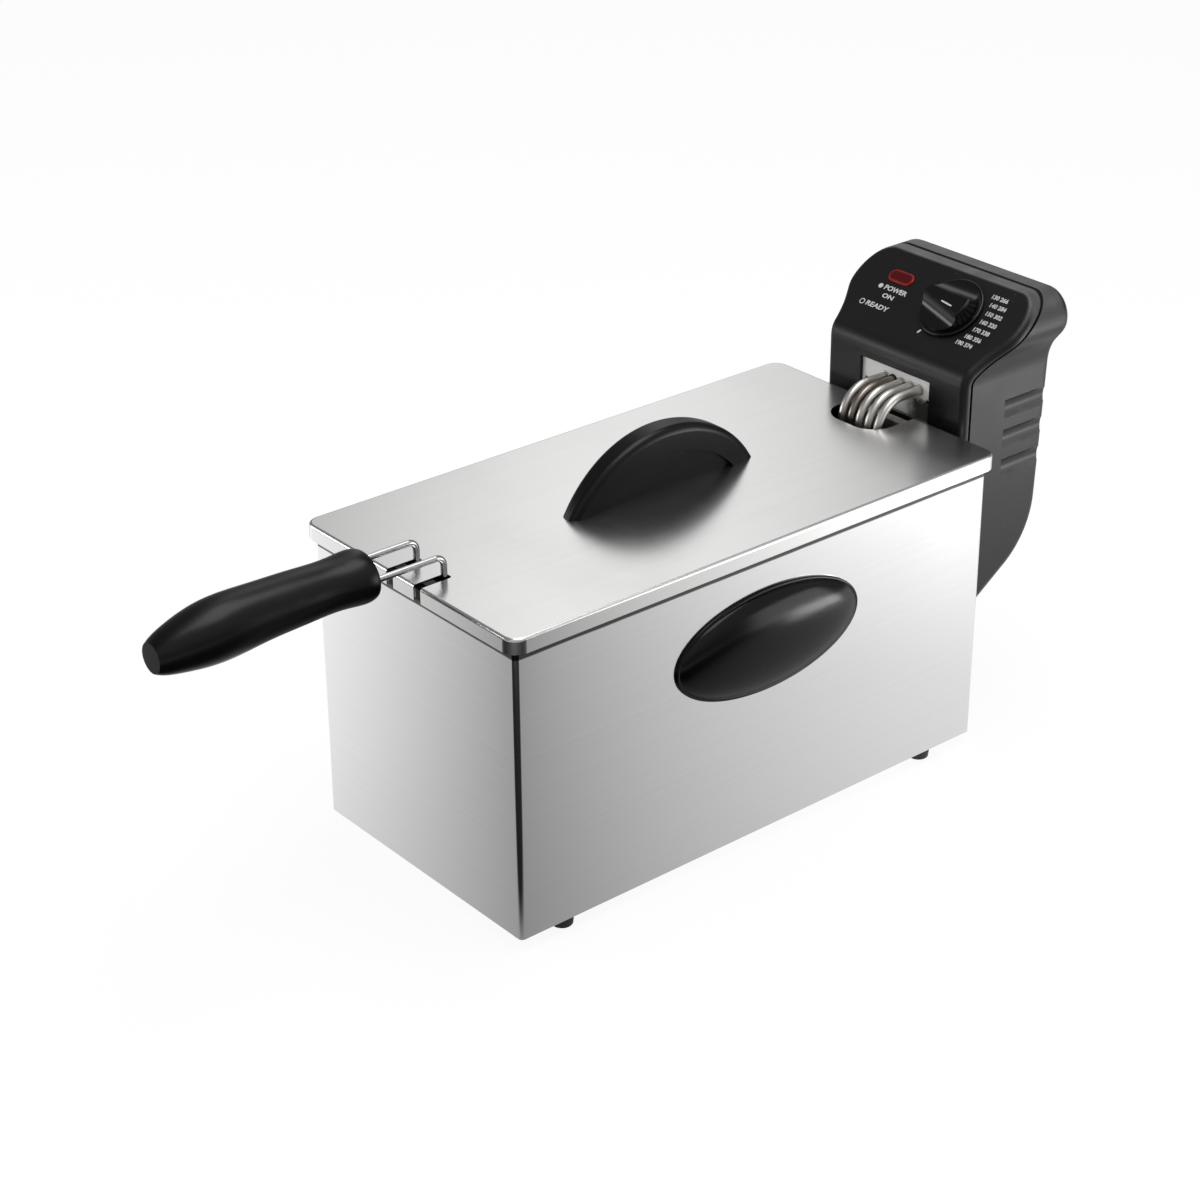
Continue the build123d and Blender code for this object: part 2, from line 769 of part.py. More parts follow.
def handle_grip():
    """Round grip, a little wider than high, with a flat pocket for the two wires."""
    sections = []
    for share, radius, drop in grip_stations:
        origin = (grip_start_x - share * grip_len, 0, handle_wire_z - drop)
        widened = radius + grip_widening * (1 - share)
        place = Plane(origin=origin, x_dir=(0, 1, 0), z_dir=(-1, 0, 0))
        sections.append(place * Ellipse(widened, radius))
    grip = loft(sections)
    mouth = Plane(origin=(grip_start_x + 1, 0, handle_wire_z), x_dir=(0, 1, 0), z_dir=(-1, 0, 0))
    pocket_high = 2 * (handle_wire + contact_gap)
    for side, depth in ((handle_wire_y, grip_taper_in + 1), (handle_wire_in_y, grip_insert + 3)):
        grip -= extrude(mouth * SlotOverall(2 * side + pocket_high, pocket_high), depth)
    return grip


# ---------------------------------------------------------------- control head
def head_profile():
    """Side outline in XZ, from the foot round the back and over the panel."""
    top = head_top_z + panel_rise / 4
    rear_low_x = (
        (head_slope_z - head_rear_z + head_rear_x / lean_tan - head_slope_x * slope_tan)
        / (1 / lean_tan - slope_tan)
    )
    rear_low_z = head_slope_z + (rear_low_x - head_slope_x) * slope_tan
    foot_z = head_slope_z + (head_foot_x - head_slope_x) * slope_tan
    return rounded_face(
        [
            (head_foot_x, foot_z, head_foot_radius),
            (rear_low_x, rear_low_z, head_heel_radius),
            (head_rear_x + (top - head_rear_z) * lean_tan, top, 0),
            (head_front_x + (top - fold_z) * panel_cos / panel_sin, top, 0),
            (head_front_x, fold_z, fold_radius),
            (head_front_x, head_step_z, 0),
            (head_foot_x, head_step_z, head_step_radius),
        ]
    )


def head_silhouette():
    """Front outline in YZ: a straight stem that flares out to the panel."""
    low = housing_top - stem_drop
    right = [
        (stem_half, low, stem_low_radius),
        (stem_half, fold_z + flare_start, flare_hollow_radius),
        (flare_half, fold_z + flare_end, flare_low_radius),
        (flare_half, head_top_z, flare_top_radius),
    ]
    left = [(-y, z, radius) for y, z, radius in reversed(right)]
    return rounded_face(right + left)


def head_form(inset):
    """The head's outer form, moved inwards by an even wall."""
    profile, silhouette = head_profile(), head_silhouette()
    if inset > 0:
        profile = offset(profile, -inset, kind=Kind.INTERSECTION)
        silhouette = offset(silhouette, -inset, kind=Kind.INTERSECTION)
    sides = extrude(Plane.XZ * profile, 2 * flare_half, both=True)
    depth = Pos(head_foot_x - 10, 0, 0) * extrude(Plane.YZ * silhouette, 2 * flare_half)
    return sides & depth


def is_front(face):
    """Whether a face belongs to the front face, the fold or the panel."""
    centre = face.center()
    normal = face.normal_at(centre)
    return normal.X < -0.5 and abs(normal.Y) < 0.01 and centre.Z > head_step_z


def is_rear(face):
    centre = face.center()
    normal = face.normal_at(centre)
    return normal.X > 0.3 and abs(normal.Y) < 0.01


def chain_between(solid, chosen, lowest):
    """Edges between the chosen faces and all others, above a height."""
    picked = [face for face in solid.faces() if chosen(face)]
    edges = []
    for face in picked:
        for edge in face.edges():
            owners = [other for other in picked if any(edge.is_same(e) for e in other.edges())]
            if len(owners) == 1 and edge.center().Z > lowest:
                edges.append(edge)
    return edges


def head_outer():
    solid = head_form(0)
    solid = fillet(chain_between(solid, is_front, head_step_z + 0.5), front_edge_radius)
    return fillet(chain_between(solid, is_rear, foot_lift), rear_edge_radius)


def behind_seam(depth):
    """Everything behind a surface that runs parallel to the front face and the panel."""
    far = 2 * (head_top_z - foot_lift)
    front_x = head_front_x + depth
    meet_z = fold_z - depth * tan(radians(90 - panel_angle) / 2)
    zone = rounded_face(
        [
            (front_x, 0, 0),
            (front_x, meet_z, fold_radius - depth),
            (front_x + far * panel_cos, meet_z + far * panel_sin, 0),
            (front_x + 2 * far, meet_z + far * panel_sin, 0),
            (front_x + 2 * far, 0, 0),
        ]
    )
    return extrude(Plane.XZ * zone, 2 * flare_half, both=True)


def rear_x(z):
    """X of the head's leaning rear face at height z."""
    return head_rear_x + (z - head_rear_z) * lean_tan


def span(low, high):
    """Box between two opposite corners."""
    middle = [(a + b) / 2 for a, b in zip(low, high)]
    return Pos(*middle) * Box(*[b - a for a, b in zip(low, high)])


def head_cavity():
    """Hollow inside the casing, kept clear of the hook pocket and the scalloped sides."""
    cavity = head_form(head_wall)
    wall = head_wall
    half = pocket_half + wall
    pocket_x = head_foot_x + pocket_depth + wall
    cavity -= span((head_foot_x - 1, -half, 0), (pocket_x, half, pocket_top_z + wall))
    inner_y = stem_half - wall - scallop_backing
    low, high = scallop_z[-1] - scallop_chord, scallop_z[0] + scallop_chord
    for side in (-1, 1):
        y = sorted((side * inner_y, side * flare_half))
        cavity -= span((scallop_x - wall, y[0], low), (reach_rear + wall, y[1], high))
    return cavity


def post_places():
    return [(y, z) for y in (-post_y, post_y) for z in post_z]


def head_front_shell():
    """Front face, panel and foot of the casing, with posts that take the rear screws."""
    shell = head_outer() - behind_seam(seam_depth) - head_cavity()
    for y, z in post_places():
        start = head_wall / 2 + (head_front_x if z > head_step_z else head_foot_x)
        end = rear_x(z) - head_wall - post_radius * lean_tan - contact_gap
        shell += rod(post_radius, (start, y, z), (end, y, z))
        shell -= rod(screw_radius + contact_gap, (end - head_screw_len, y, z), (end + 1, y, z))
    near, far = head_front_x - head_wall, plate_front_x + head_wall
    shell -= span((near, -window_half, window_low_z), (far, window_half, window_high_z))
    pocket_x = head_foot_x + pocket_depth
    shell -= span((head_foot_x - 1, -pocket_half, 0), (pocket_x, pocket_half, pocket_top_z))
    bush = Cylinder(bush_radius + fit_gap, 6 * head_wall)
    shell -= panel_place(knob_up, knob_side).location * bush
    lens = SlotOverall(lens_len + 2 * fit_gap, lens_wid + 2 * fit_gap)
    lens = Pos(0, 0, -3 * head_wall) * extrude(lens, 6 * head_wall)
    return shell - panel_place(lens_up, lens_side).location * lens


def head_rear_shell():
    """Sides, top and back of the casing, with a groove along the seam."""
    lip = head_form(seam_groove) & behind_seam(seam_depth)
    shell = (head_outer() & behind_seam(seam_depth + seam_gap)) + lip - head_cavity()
    radius = (scallop_chord**2 / 4 + scallop_depth**2) / (2 * scallop_depth)
    for z in scallop_z:
        for side in (-1, 1):
            y = side * (stem_half - scallop_depth + radius)
            shell -= rod(radius, (scallop_x, y, z), (reach_rear + 10, y, z))
    for y, z in post_places():
        hole, seat = screw_radius + screw_clearance, screw_head_radius + screw_clearance
        shell -= rear_hole(y, z, hole, seat, screw_seat)
    shell -= rear_hole(reset_y, reset_z, reset_radius + reset_fit, reset_radius + reset_fit, 0)
    return shell - rear_hole(gland_y, gland_z, gland_radius + fit_gap, gland_flange + fit_gap, gland_seat)


def rear_hole(y, z, radius, seat_radius, seat_depth):
    """Cutter for a hole through the back, with a flat seat round it."""
    x = rear_x(z)
    hole = rod(radius, (x - 3 * head_wall, y, z), (x + 3 * head_wall, y, z))
    return hole + rod(seat_radius, (x - seat_depth, y, z), (x + 3 * head_wall, y, z))


def head_screws():
    length = head_wall - screw_seat + head_screw_len - 2.0
    screw = Rot(0, 90, 0) * pan_screw(screw_head_radius, screw_head_height, screw_radius, length)
    return Compound([Pos(rear_x(z) - screw_seat, y, z) * screw for y, z in post_places()])


def element_plate():
    front = plate_front_x
    half = window_half + plate_lap
    low, high = window_low_z - plate_under, window_high_z + plate_over
    plate = span((front, -half, low), (front + plate_sheet, half, high))
    plate = fillet(plate.edges().filter_by(Axis.X), plate_corner)
    holes = [(y, tube_exit_z, ferrule_radius + contact_gap) for y in tube_y]
    holes.append((sensor_y, tube_exit_z, grommet_radius + contact_gap))
    for side in (-1, 1):
        y = side * (window_half - plate_hole_inset)
        holes.append((y, window_low_z + plate_hole_rise, plate_hole_radius))
    for y, z, radius in holes:
        plate -= rod(radius, (front - plate_sheet, y, z), (front + 2 * plate_sheet, y, z))
    return plate


def ring(outer, inner, start, end):
    return rod(outer, start, end) - rod(inner, start, end)


def element_ferrules():
    start = plate_front_x - ferrule_proud
    end = start + ferrule_len
    rings = [
        ring(ferrule_radius, tube_radius + contact_gap, (start, y, tube_exit_z), (end, y, tube_exit_z))
        for y in tube_y
    ]
    return Compound([r.solid() for r in rings])


def sensor_grommet():
    start = plate_front_x - grommet_proud
    ends = [(x, sensor_y, tube_exit_z) for x in (start, start + grommet_len)]
    return ring(grommet_radius, sensor_radius + contact_gap, *ends)


def leg_points(y_top, y_floor, start_x):
    """Route of one leg: out of the plate, down the back of the pot and onto its floor."""
    return [
        (start_x, y_top, tube_exit_z),
        (tube_drop_x, y_top, tube_exit_z),
        (tube_drop_x, y_top, tube_exit_z - leg_spread_top),
        (tube_drop_x, y_floor, tube_exit_z - leg_spread_end),
        (tube_drop_x, y_floor, tube_floor_z),
    ]


def tube(radius, points, bends):
    path = FilletPolyline(*points, radius=bends)
    return sweep(Plane(origin=path @ 0, z_dir=path % 0) * Circle(radius), path=path)


def heating_element():
    """Two hairpins that lie on the pot's floor, one inside the other."""
    loops = []
    pairs = ((tube_y[0], tube_y[3], outer_loop_half), (tube_y[1], tube_y[2], inner_loop_half))
    for number, (y_left, y_right, half) in enumerate(pairs):
        front_x = loop_front_x + number * (outer_loop_half - inner_loop_half)
        points = leg_points(y_left, half, tube_end_x)
        points += [(front_x, half, tube_floor_z), (front_x, -half, tube_floor_z)]
        points += list(reversed(leg_points(y_right, -half, tube_end_x)))
        leg_bends = [tube_bend, leg_bend, leg_bend, loop_rear_bend]
        turn = half * loop_turn
        loop = tube(tube_radius, points, leg_bends + [turn, turn] + leg_bends[::-1])
        for y in (y_left, y_right):
            loop += rod(pin_radius, (tube_end_x - 1, y, tube_exit_z), (tube_end_x + pin_len, y, tube_exit_z))
        loops.append(loop.solid())
    return Compound(loops)


def sensor_tube():
    """Steel tube from the thermostat to its bulb, which lies between the two hairpins."""
    points = leg_points(sensor_y, sensor_floor_y, tube_end_x)
    points.append((sensor_end_x, sensor_floor_y, tube_floor_z))
    return tube(sensor_radius, points, [tube_bend, leg_bend, leg_bend, loop_rear_bend])


def element_clips():
    """Grooved bars that carry the hairpins just above the pot's floor."""
    clips = []
    top = tube_floor_z - clip_cover
    low = pot_floor_z + clip_foot_gap
    half = outer_loop_half + clip_lap
    for x in clip_x:
        near, far = x - clip_wid / 2, x + clip_wid / 2
        bar = span((near, -half, top - clip_thick), (far, half, top))
        for side in (-1, 1):
            foot = sorted((side * half, side * (half - clip_thick)))
            bar += span((near, foot[0], low), (far, foot[1], top))
        for y in (-outer_loop_half, -inner_loop_half, inner_loop_half, outer_loop_half):
            ends = [(end, y, tube_floor_z) for end in (x - clip_wid, x + clip_wid)]
            bar -= rod(tube_radius + contact_gap, *ends)
        if x + clip_wid > sensor_end_x:
            groove = sensor_radius + contact_gap
            ends = [(x + side * clip_wid, sensor_floor_y, tube_floor_z) for side in (-1, 1)]
            bar -= rod(groove, *ends)
        clips.append(bar.solid())
    return Compound(clips)


def thermostat():
    """Switch body under the panel, with the threaded bush for the spindle."""
    high = -head_wall - contact_gap
    size = thermostat_size
    body = Pos(0, 0, high - thermostat_depth / 2) * Box(size, size, thermostat_depth)
    body = fillet(body.edges().filter_by(Axis.Z), thermostat_corner)
    bush_top = knob_gap - bush_under_knob
    bush_len = bush_top - high + thermostat_corner
    body += Pos(0, 0, bush_top - bush_len / 2) * Cylinder(bush_radius, bush_len)
    for i in (-1, 0, 1):
        blade = Box(blade_thick, blade_wid, blade_len)
        body += Pos(i * blade_pitch, 0, high - thermostat_depth - blade_len / 2 + contact_gap) * blade
    body -= Pos(0, 0, bush_top) * Cylinder(spindle_radius + contact_gap, 2 * (spindle_below + 1))
    return panel_place(knob_up, knob_side).location * body


def thermostat_spindle():
    low, high = -spindle_below, knob_gap + spindle_in_knob
    shaft = Pos(0, 0, (low + high) / 2) * Cylinder(spindle_radius, high - low)
    flat = Box(2 * spindle_radius, 2 * spindle_flat, 2 * spindle_in_knob)
    flat = Pos(0, spindle_radius, high) * flat
    return panel_place(knob_up, knob_side).location * (shaft - flat)


def thermostat_knob():
    """Skirted knob with a pointer ridge left between two scooped sides."""
    low = knob_gap + knob_skirt
    skirt = Pos(0, 0, knob_gap + knob_skirt / 2) * Cylinder(knob_skirt_radius, knob_skirt)
    skirt = fillet(skirt.edges().group_by(Axis.Z)[-1], knob_skirt * 0.6)
    height = knob_height - knob_skirt
    body = Pos(0, 0, low + height / 2) * Cone(knob_radius, knob_top_radius, height)
    body = fillet(body.edges().group_by(Axis.Z)[-1], knob_top_edge)
    reach = sqrt(knob_scoop_radius**2 - (knob_scoop_radius - knob_height + knob_scoop_floor) ** 2)
    for side in (-1, 1):
        scoop = Rot(0, 90, 0) * Cylinder(knob_scoop_radius, 4 * knob_radius)
        place = Rot(0, 0, side * knob_toe) * Pos(0, side * (knob_ridge / 2 + reach), 0)
        body -= Pos(0, 0, knob_gap + knob_scoop_floor + knob_scoop_radius) * place * scoop
    knob = Rot(0, 0, 90 - knob_pointing) * (skirt + body)
    knob -= Pos(0, 0, knob_gap) * Cylinder(spindle_radius + knob_fit, 2 * spindle_in_knob + 1)
    return panel_place(knob_up, knob_side).location * knob


def lamp_lens():
    """Pill-shaped red lens with a flange behind the panel."""
    low = -head_wall - contact_gap
    lens = Pos(0, 0, low) * extrude(SlotOverall(lens_len, lens_wid), lens_proud - low)
    lens = fillet(lens.edges().group_by(Axis.Z)[-1], lens_edge)
    flange = SlotOverall(lens_len + 2 * lens_flange, lens_wid + 2 * lens_flange)
    lens += Pos(0, 0, low - lens_flange_sheet) * extrude(flange, lens_flange_sheet)
    return panel_place(lens_up, lens_side).location * lens


def pilot_lamp():
    """Neon lamp on its holder behind the lens."""
    high = -head_wall - lens_flange_sheet - 2 * contact_gap
    plate = SlotOverall(lens_len + 2 * lens_flange, lens_wid + lens_flange)
    holder = Pos(0, 0, high - lamp_drop) * extrude(plate, -lens_flange)
    for side in (-1, 1):
        leg = Box(lens_flange, 2 * lens_flange, lamp_drop)
        holder += Pos(side * lens_len / 2, 0, high - lamp_drop / 2) * leg
    holder += Pos(0, 0, high - lamp_drop / 2) * Rot(0, 90, 0) * Cylinder(lamp_radius, lens_len)
    return panel_place(lens_up, lens_side).location * holder


def thermal_cutout():
    """Overheat cut-out behind the reset button."""
    y, z = reset_y, reset_z
    pad = rear_x(z) - head_wall - reset_stem - reset_travel - socket_floor_gap
    face = pad - reset_travel
    back = face - cutout_depth
    body = rod(cutout_radius, (back, y, z), (face, y, z))
    body += rod(reset_stem_radius + 1, (back, y, z), (pad, y, z))
    ear = (cutout_ear, cutout_radius / 2)
    return body + span((back, y - ear[0], z - ear[1]), (back + plate_sheet, y + ear[0], z + ear[1]))


def reset_button():
    """Push button that sets the cut-out again."""
    x, y, z = rear_x(reset_z), reset_y, reset_z
    lean = (reset_radius + reset_shoulder) * lean_tan
    face = x - head_wall - lean - contact_gap
    back = face - plate_sheet
    cap = rod(reset_radius, (back, y, z), (x + reset_proud, y, z))
    cap = fillet(cap.edges().group_by(Axis.X)[-1], reset_edge)
    cap += rod(reset_radius + reset_shoulder, (back, y, z), (face, y, z))
    return cap + rod(reset_stem_radius, (x - head_wall - reset_stem, y, z), (face, y, z))


def cord_gland():
    """Bush for the mains cord, seated in the back of the head."""
    x = rear_x(gland_z)
    seat = x - gland_seat
    end = seat + gland_flange_thick
    gland = rod(gland_radius, (x - gland_len, gland_y, gland_z), (end, gland_y, gland_z))
    gland += rod(gland_flange, (seat, gland_y, gland_z), (end, gland_y, gland_z))
    gland = fillet(gland.edges().group_by(Axis.X)[-1], gland_flange_thick * 0.4)
    return gland - rod(gland_bore, (x - 2 * gland_len, gland_y, gland_z), (x + gland_len, gland_y, gland_z))


def terminal_block():
    """Block of clamps that joins the cord to the inner wires."""
    depth, wid, height = terminal_size
    x = head_foot_x + head_wall
    low_z = pocket_top_z + 2 * head_wall
    block = span((x, -wid / 2, low_z), (x + depth, wid / 2, low_z + height))
    block = fillet(block.edges().filter_by(Axis.X), depth / 8)
    for i in range(terminal_ways):
        y = (i - (terminal_ways - 1) / 2) * terminal_pitch
        z = low_z + height / 2
        block -= rod(screw_radius, (x + depth / 3, y, z), (x + depth + 1, y, z))
        reach = terminal_pitch * 0.3
        near, far = x + depth * 0.4, x + depth * 0.75
        block -= span((near, y - reach, low_z - 1), (far, y + reach, low_z + height / 4))
    return block


def interlock_switch():
    """Switch that cuts the current when the head is lifted off the housing."""
    depth, wid, height = interlock_size
    x = head_foot_x + head_wall
    y = pocket_half + head_wall + screw_radius
    z = interlock_z - height / 2
    body = span((x, y, z), (x + depth, y + wid, z + height))
    body = fillet(body.edges().filter_by(Axis.X), depth / 8)
    for side in (-1, 1):
        hole_y, hole_z = y + wid / 2, interlock_z + side * interlock_hole_pitch / 2
        body -= rod(rivet_radius, (x - 1, hole_y, hole_z), (x + depth + 1, hole_y, hole_z))
    return body


def hook_plate():
    """T-shaped steel plate that slides down behind the housing bracket's lips."""
    back = rear_wall_x + bracket_sheet_rear + hook_gap
    front = back + hook_sheet
    floor_x = head_foot_x + pocket_depth
    top = hook_high_z + contact_gap
    low, cap = hook_low_z + hook_lead, top + hook_cap
    plate = span((back, -hook_half, low), (front, hook_half, top))
    plate += span((back, -hook_half, top), (rear_wall_x + rail_depth, hook_half, cap))
    return plate + span((back, -hook_neck_half, low), (floor_x, hook_neck_half, cap))


# ---------------------------------------------------------------- the pieces, body by body
def pieces():
    grip = side_grip()
    return {
        # housing
        "housing_shell": housing_shell(),
        "base_plate": base_plate(),
        "rubber_feet": rubber_feet(),
        "foot_screws": foot_screws(),
        "side_grip_right": grip,
        "side_grip_left": mirror(grip, about=Plane.XZ),
        "side_grip_screws": grip_screws(),
        "rear_bracket": rear_bracket(),
        "bracket_rivets": bracket_rivets(),
        # pot
        "oil_pot": oil_pot(),
        # control head
        "head_front_shell": head_front_shell(),
        "head_rear_shell": head_rear_shell(),
        "head_screws": head_screws(),
        "hook_plate": hook_plate(),
        "element_plate": element_plate(),
        "element_ferrules": element_ferrules(),
        "heating_element": heating_element(),
        "element_clips": element_clips(),
        "sensor_tube": sensor_tube(),
        "sensor_grommet": sensor_grommet(),
        "thermostat": thermostat(),
        "thermal_cutout": thermal_cutout(),
        "interlock_switch": interlock_switch(),
        "terminal_block": terminal_block(),
        "lamp_lens": lamp_lens(),
        "pilot_lamp": pilot_lamp(),
        "cord_gland": cord_gland(),
        # knob and button
        "thermostat_knob": thermostat_knob(),
        "thermostat_spindle": thermostat_spindle(),
        "reset_button": reset_button(),
        # basket
        "basket_mesh": basket_mesh(),
        "basket_frame": basket_frame(),
        "handle_bracket": handle_bracket(),
        # basket handle
        "handle_wires": handle_wires(),
        "handle_grip": handle_grip(),
        # lid
        "lid_panel": lid_panel(),
        "lid_handle": lid_handle(),
        "lid_handle_screws": lid_handle_screws(),
    }


def write_all():
    os.makedirs("parts", exist_ok=True)
    for name, shape in pieces().items():
        write(name, shape)


if __name__ == "__main__":
    write_all()
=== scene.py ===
import json
import math

import bmesh
import bpy
import numpy as np
from mathutils import Matrix, Quaternion, Vector


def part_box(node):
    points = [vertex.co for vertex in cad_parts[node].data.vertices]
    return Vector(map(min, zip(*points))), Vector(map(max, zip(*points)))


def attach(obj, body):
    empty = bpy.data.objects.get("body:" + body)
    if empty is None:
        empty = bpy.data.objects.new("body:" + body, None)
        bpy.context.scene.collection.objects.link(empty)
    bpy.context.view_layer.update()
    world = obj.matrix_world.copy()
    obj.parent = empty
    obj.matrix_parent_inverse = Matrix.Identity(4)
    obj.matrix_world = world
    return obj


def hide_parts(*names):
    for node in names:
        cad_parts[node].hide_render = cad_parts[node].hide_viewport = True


# Semi-professional deep fryer. The solids come from the frame. This script gives them their
# finishes, weaves the basket's wire cloth, prints the dial and sets up the studio. Metres.

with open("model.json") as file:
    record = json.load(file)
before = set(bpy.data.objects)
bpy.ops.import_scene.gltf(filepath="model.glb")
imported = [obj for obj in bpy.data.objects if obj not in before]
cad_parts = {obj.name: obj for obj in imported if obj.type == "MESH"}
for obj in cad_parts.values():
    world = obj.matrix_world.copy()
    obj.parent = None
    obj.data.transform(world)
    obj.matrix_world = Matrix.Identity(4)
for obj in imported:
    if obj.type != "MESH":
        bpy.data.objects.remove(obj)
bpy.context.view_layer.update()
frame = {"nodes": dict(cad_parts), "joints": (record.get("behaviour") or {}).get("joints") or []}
nodes = frame["nodes"]
knobJoint = next(joint for joint in frame["joints"] if joint["name"] == "knob_turn")
knobCentre = Vector(knobJoint["pos_m"])
panelNormal = -Vector(knobJoint["axis"])
panelUp = Vector((panelNormal.z, 0.0, -panelNormal.x))
panelRight = Vector((0.0, -1.0, 0.0))
print("frame loaded:", len(nodes), "nodes")


# A shader value that stands in formulas: each sign between values adds one Math node.
class shaderValue:
    def __init__(self, socket):
        self.socket = socket
        self.tree = socket.id_data

    def __add__(self, other):
        return mathNode(self.tree, "ADD", self, other)

    def __sub__(self, other):
        return mathNode(self.tree, "SUBTRACT", self, other)

    def __rsub__(self, other):
        return mathNode(self.tree, "SUBTRACT", other, self)

    def __mul__(self, other):
        return mathNode(self.tree, "MULTIPLY", self, other)

    def __truediv__(self, other):
        return mathNode(self.tree, "DIVIDE", self, other)

    def __pow__(self, other):
        return mathNode(self.tree, "POWER", self, other)

    def __neg__(self):
        return mathNode(self.tree, "MULTIPLY", self, -1.0)

    def __abs__(self):
        return mathNode(self.tree, "ABSOLUTE", self)

    def __lt__(self, other):
        return mathNode(self.tree, "LESS_THAN", self, other)

    def __gt__(self, other):
        return mathNode(self.tree, "GREATER_THAN", self, other)


# Puts a plain value into a socket, or links a shader value to it.
def feed(socket, value):
    if isinstance(value, shaderValue):
        value.tree.links.new(value.socket, socket)
    else:
        socket.default_value = value


# A new node with its settings made, and then its sockets fed by name or number.
def addNode(tree, kind, sockets=None, **settings):
    node = tree.nodes.new(kind)
    for name, setting in settings.items():
        setattr(node, name, setting)
    for label, value in (sockets or {}).items():
        feed(node.inputs[label], value)
    return node


# The first output of a new node, and all outputs of a node by name.
def nodeValue(tree, kind, sockets=None, **settings):
    return shaderValue(addNode(tree, kind, sockets, **settings).outputs[0])


def outputsOf(node):
    return {output.name: shaderValue(output) for output in node.outputs}


def mathNode(tree, operation, *values):
    return nodeValue(tree, "ShaderNodeMath", dict(enumerate(values)), operation=operation)


def larger(value, other):
    return mathNode(value.tree, "MAXIMUM", value, other)


def smaller(value, other):
    return mathNode(value.tree, "MINIMUM", value, other)


# The first colour where the share is 0 and the second where it is 1.
def blendColours(tree, share, first, second, mode="MIX"):
    sockets = {0: share, 6: first, 7: second}      # the Mix node's sockets for colours
    node = addNode(tree, "ShaderNodeMix", sockets, data_type="RGBA", blend_type=mode)
    return shaderValue(node.outputs[2])


# Cloudy noise round a half.
def noiseAt(place, scale, detail=2.0):
    return nodeValue(place.tree, "ShaderNodeTexNoise", {"Vector": place, "Scale": scale, "Detail": detail})


# Smooth step from one value to another between two levels.
def fadeBetween(value, start, end, first=0.0, last=1.0):
    sockets = {"Value": value, "From Min": start, "From Max": end, "To Min": first, "To Max": last}
    return nodeValue(value.tree, "ShaderNodeMapRange", sockets, interpolation_type="SMOOTHSTEP")


# The place on the piece's own mesh, which is its place in the frame.
def objectPlace(tree):
    return shaderValue(tree.nodes.new("ShaderNodeTexCoord").outputs["Object"])


# The three parts of a place, direction or normal.
def splitParts(vector):
    node = addNode(vector.tree, "ShaderNodeSeparateXYZ", {0: vector})
    return [shaderValue(output) for output in node.outputs]


# A node group that takes a place and named inputs, each with its kind and value, and that gives
# out numbers.
def startGroup(name, inputs, outputs):
    group = bpy.data.node_groups.new(name, "ShaderNodeTree")
    group.interface.new_socket("Place", in_out="INPUT", socket_type="NodeSocketVector")
    for label, (kind, value) in inputs.items():
        socket = group.interface.new_socket(label, in_out="INPUT", socket_type="NodeSocket" + kind)
        socket.default_value = value
    for label in outputs:
        group.interface.new_socket(label, in_out="OUTPUT", socket_type="NodeSocketFloat")
    entry = outputsOf(group.nodes.new("NodeGroupInput"))
    return group, entry, group.nodes.new("NodeGroupOutput").inputs


# A group set into a material with its own values.
def placeGroup(group, place, **values):
    return outputsOf(addNode(place.tree, "ShaderNodeGroup", {"Place": place, **values}, node_tree=group))


# Surface effects
effects = {
    "fineScale": 1.0,           # brushed grain: fine streaks over broad ones
    "broadScale": 0.13,
    "broadShare": 0.35,
    "marksFrom": 0.45,          # handling marks: where the noise starts and ends to count
    "marksTo": 0.72,
    "cloudScale": 25.0,         # moulded grain: the slow cloud under the pebbles
    "cloudShare": 0.5,
    "speckRadius": 0.09,        # dust specks, as a share of a cell
}


# Streaks drawn out along one direction: two noises on stretched coordinates, fine over broad.
def makeBrushedGrain():
    inputs = {"Stretch": ("Vector", (6.0, 6.0, 1800.0)), "Contrast": ("Float", 0.1)}
    group, entry, leave = startGroup("brushedGrain", inputs, ["Tone", "Height"])
    sockets = {0: entry["Place"], 1: entry["Stretch"]}
    drawn = nodeValue(group, "ShaderNodeVectorMath", sockets, operation="MULTIPLY")
    fine = noiseAt(drawn, effects["fineScale"], detail=3.0) * (1.0 - effects["broadShare"])
    streak = fine + noiseAt(drawn, effects["broadScale"]) * effects["broadShare"]
    feed(leave["Tone"], (streak - 0.5) * entry["Contrast"] + 1.0)
    feed(leave["Height"], streak)
    return group


# Soft patches where hands and cloths have touched: noise above a threshold, smoothed.
def makeHandlingMarks():
    inputs = {"Size": ("Float", 9.0), "Amount": ("Float", 0.05)}
    group, entry, leave = startGroup("handlingMarks", inputs, ["Roughness"])
    patches = noiseAt(entry["Place"], entry["Size"], detail=4.0)
    feed(leave["Roughness"], fadeBetween(patches, effects["marksFrom"], effects["marksTo"]) * entry["Amount"])
    return group


# The fine pebbled surface of a spark-eroded mould: rounded cells, and a slow cloud for the tone.
def makeMouldedGrain():
    group, entry, leave = startGroup("mouldedGrain", {"Cells": ("Float", 1800.0)}, ["Tone", "Height"])
    sockets = {"Vector": entry["Place"], "Scale": entry["Cells"]}
    pebbles = outputsOf(addNode(group, "ShaderNodeTexVoronoi", sockets, feature="SMOOTH_F1"))
    cloud = noiseAt(entry["Place"], effects["cloudScale"], detail=3.0)
    feed(leave["Tone"], cloud * effects["cloudShare"] + (1.0 - effects["cloudShare"] / 2))
    feed(leave["Height"], pebbles["Distance"])
    return group


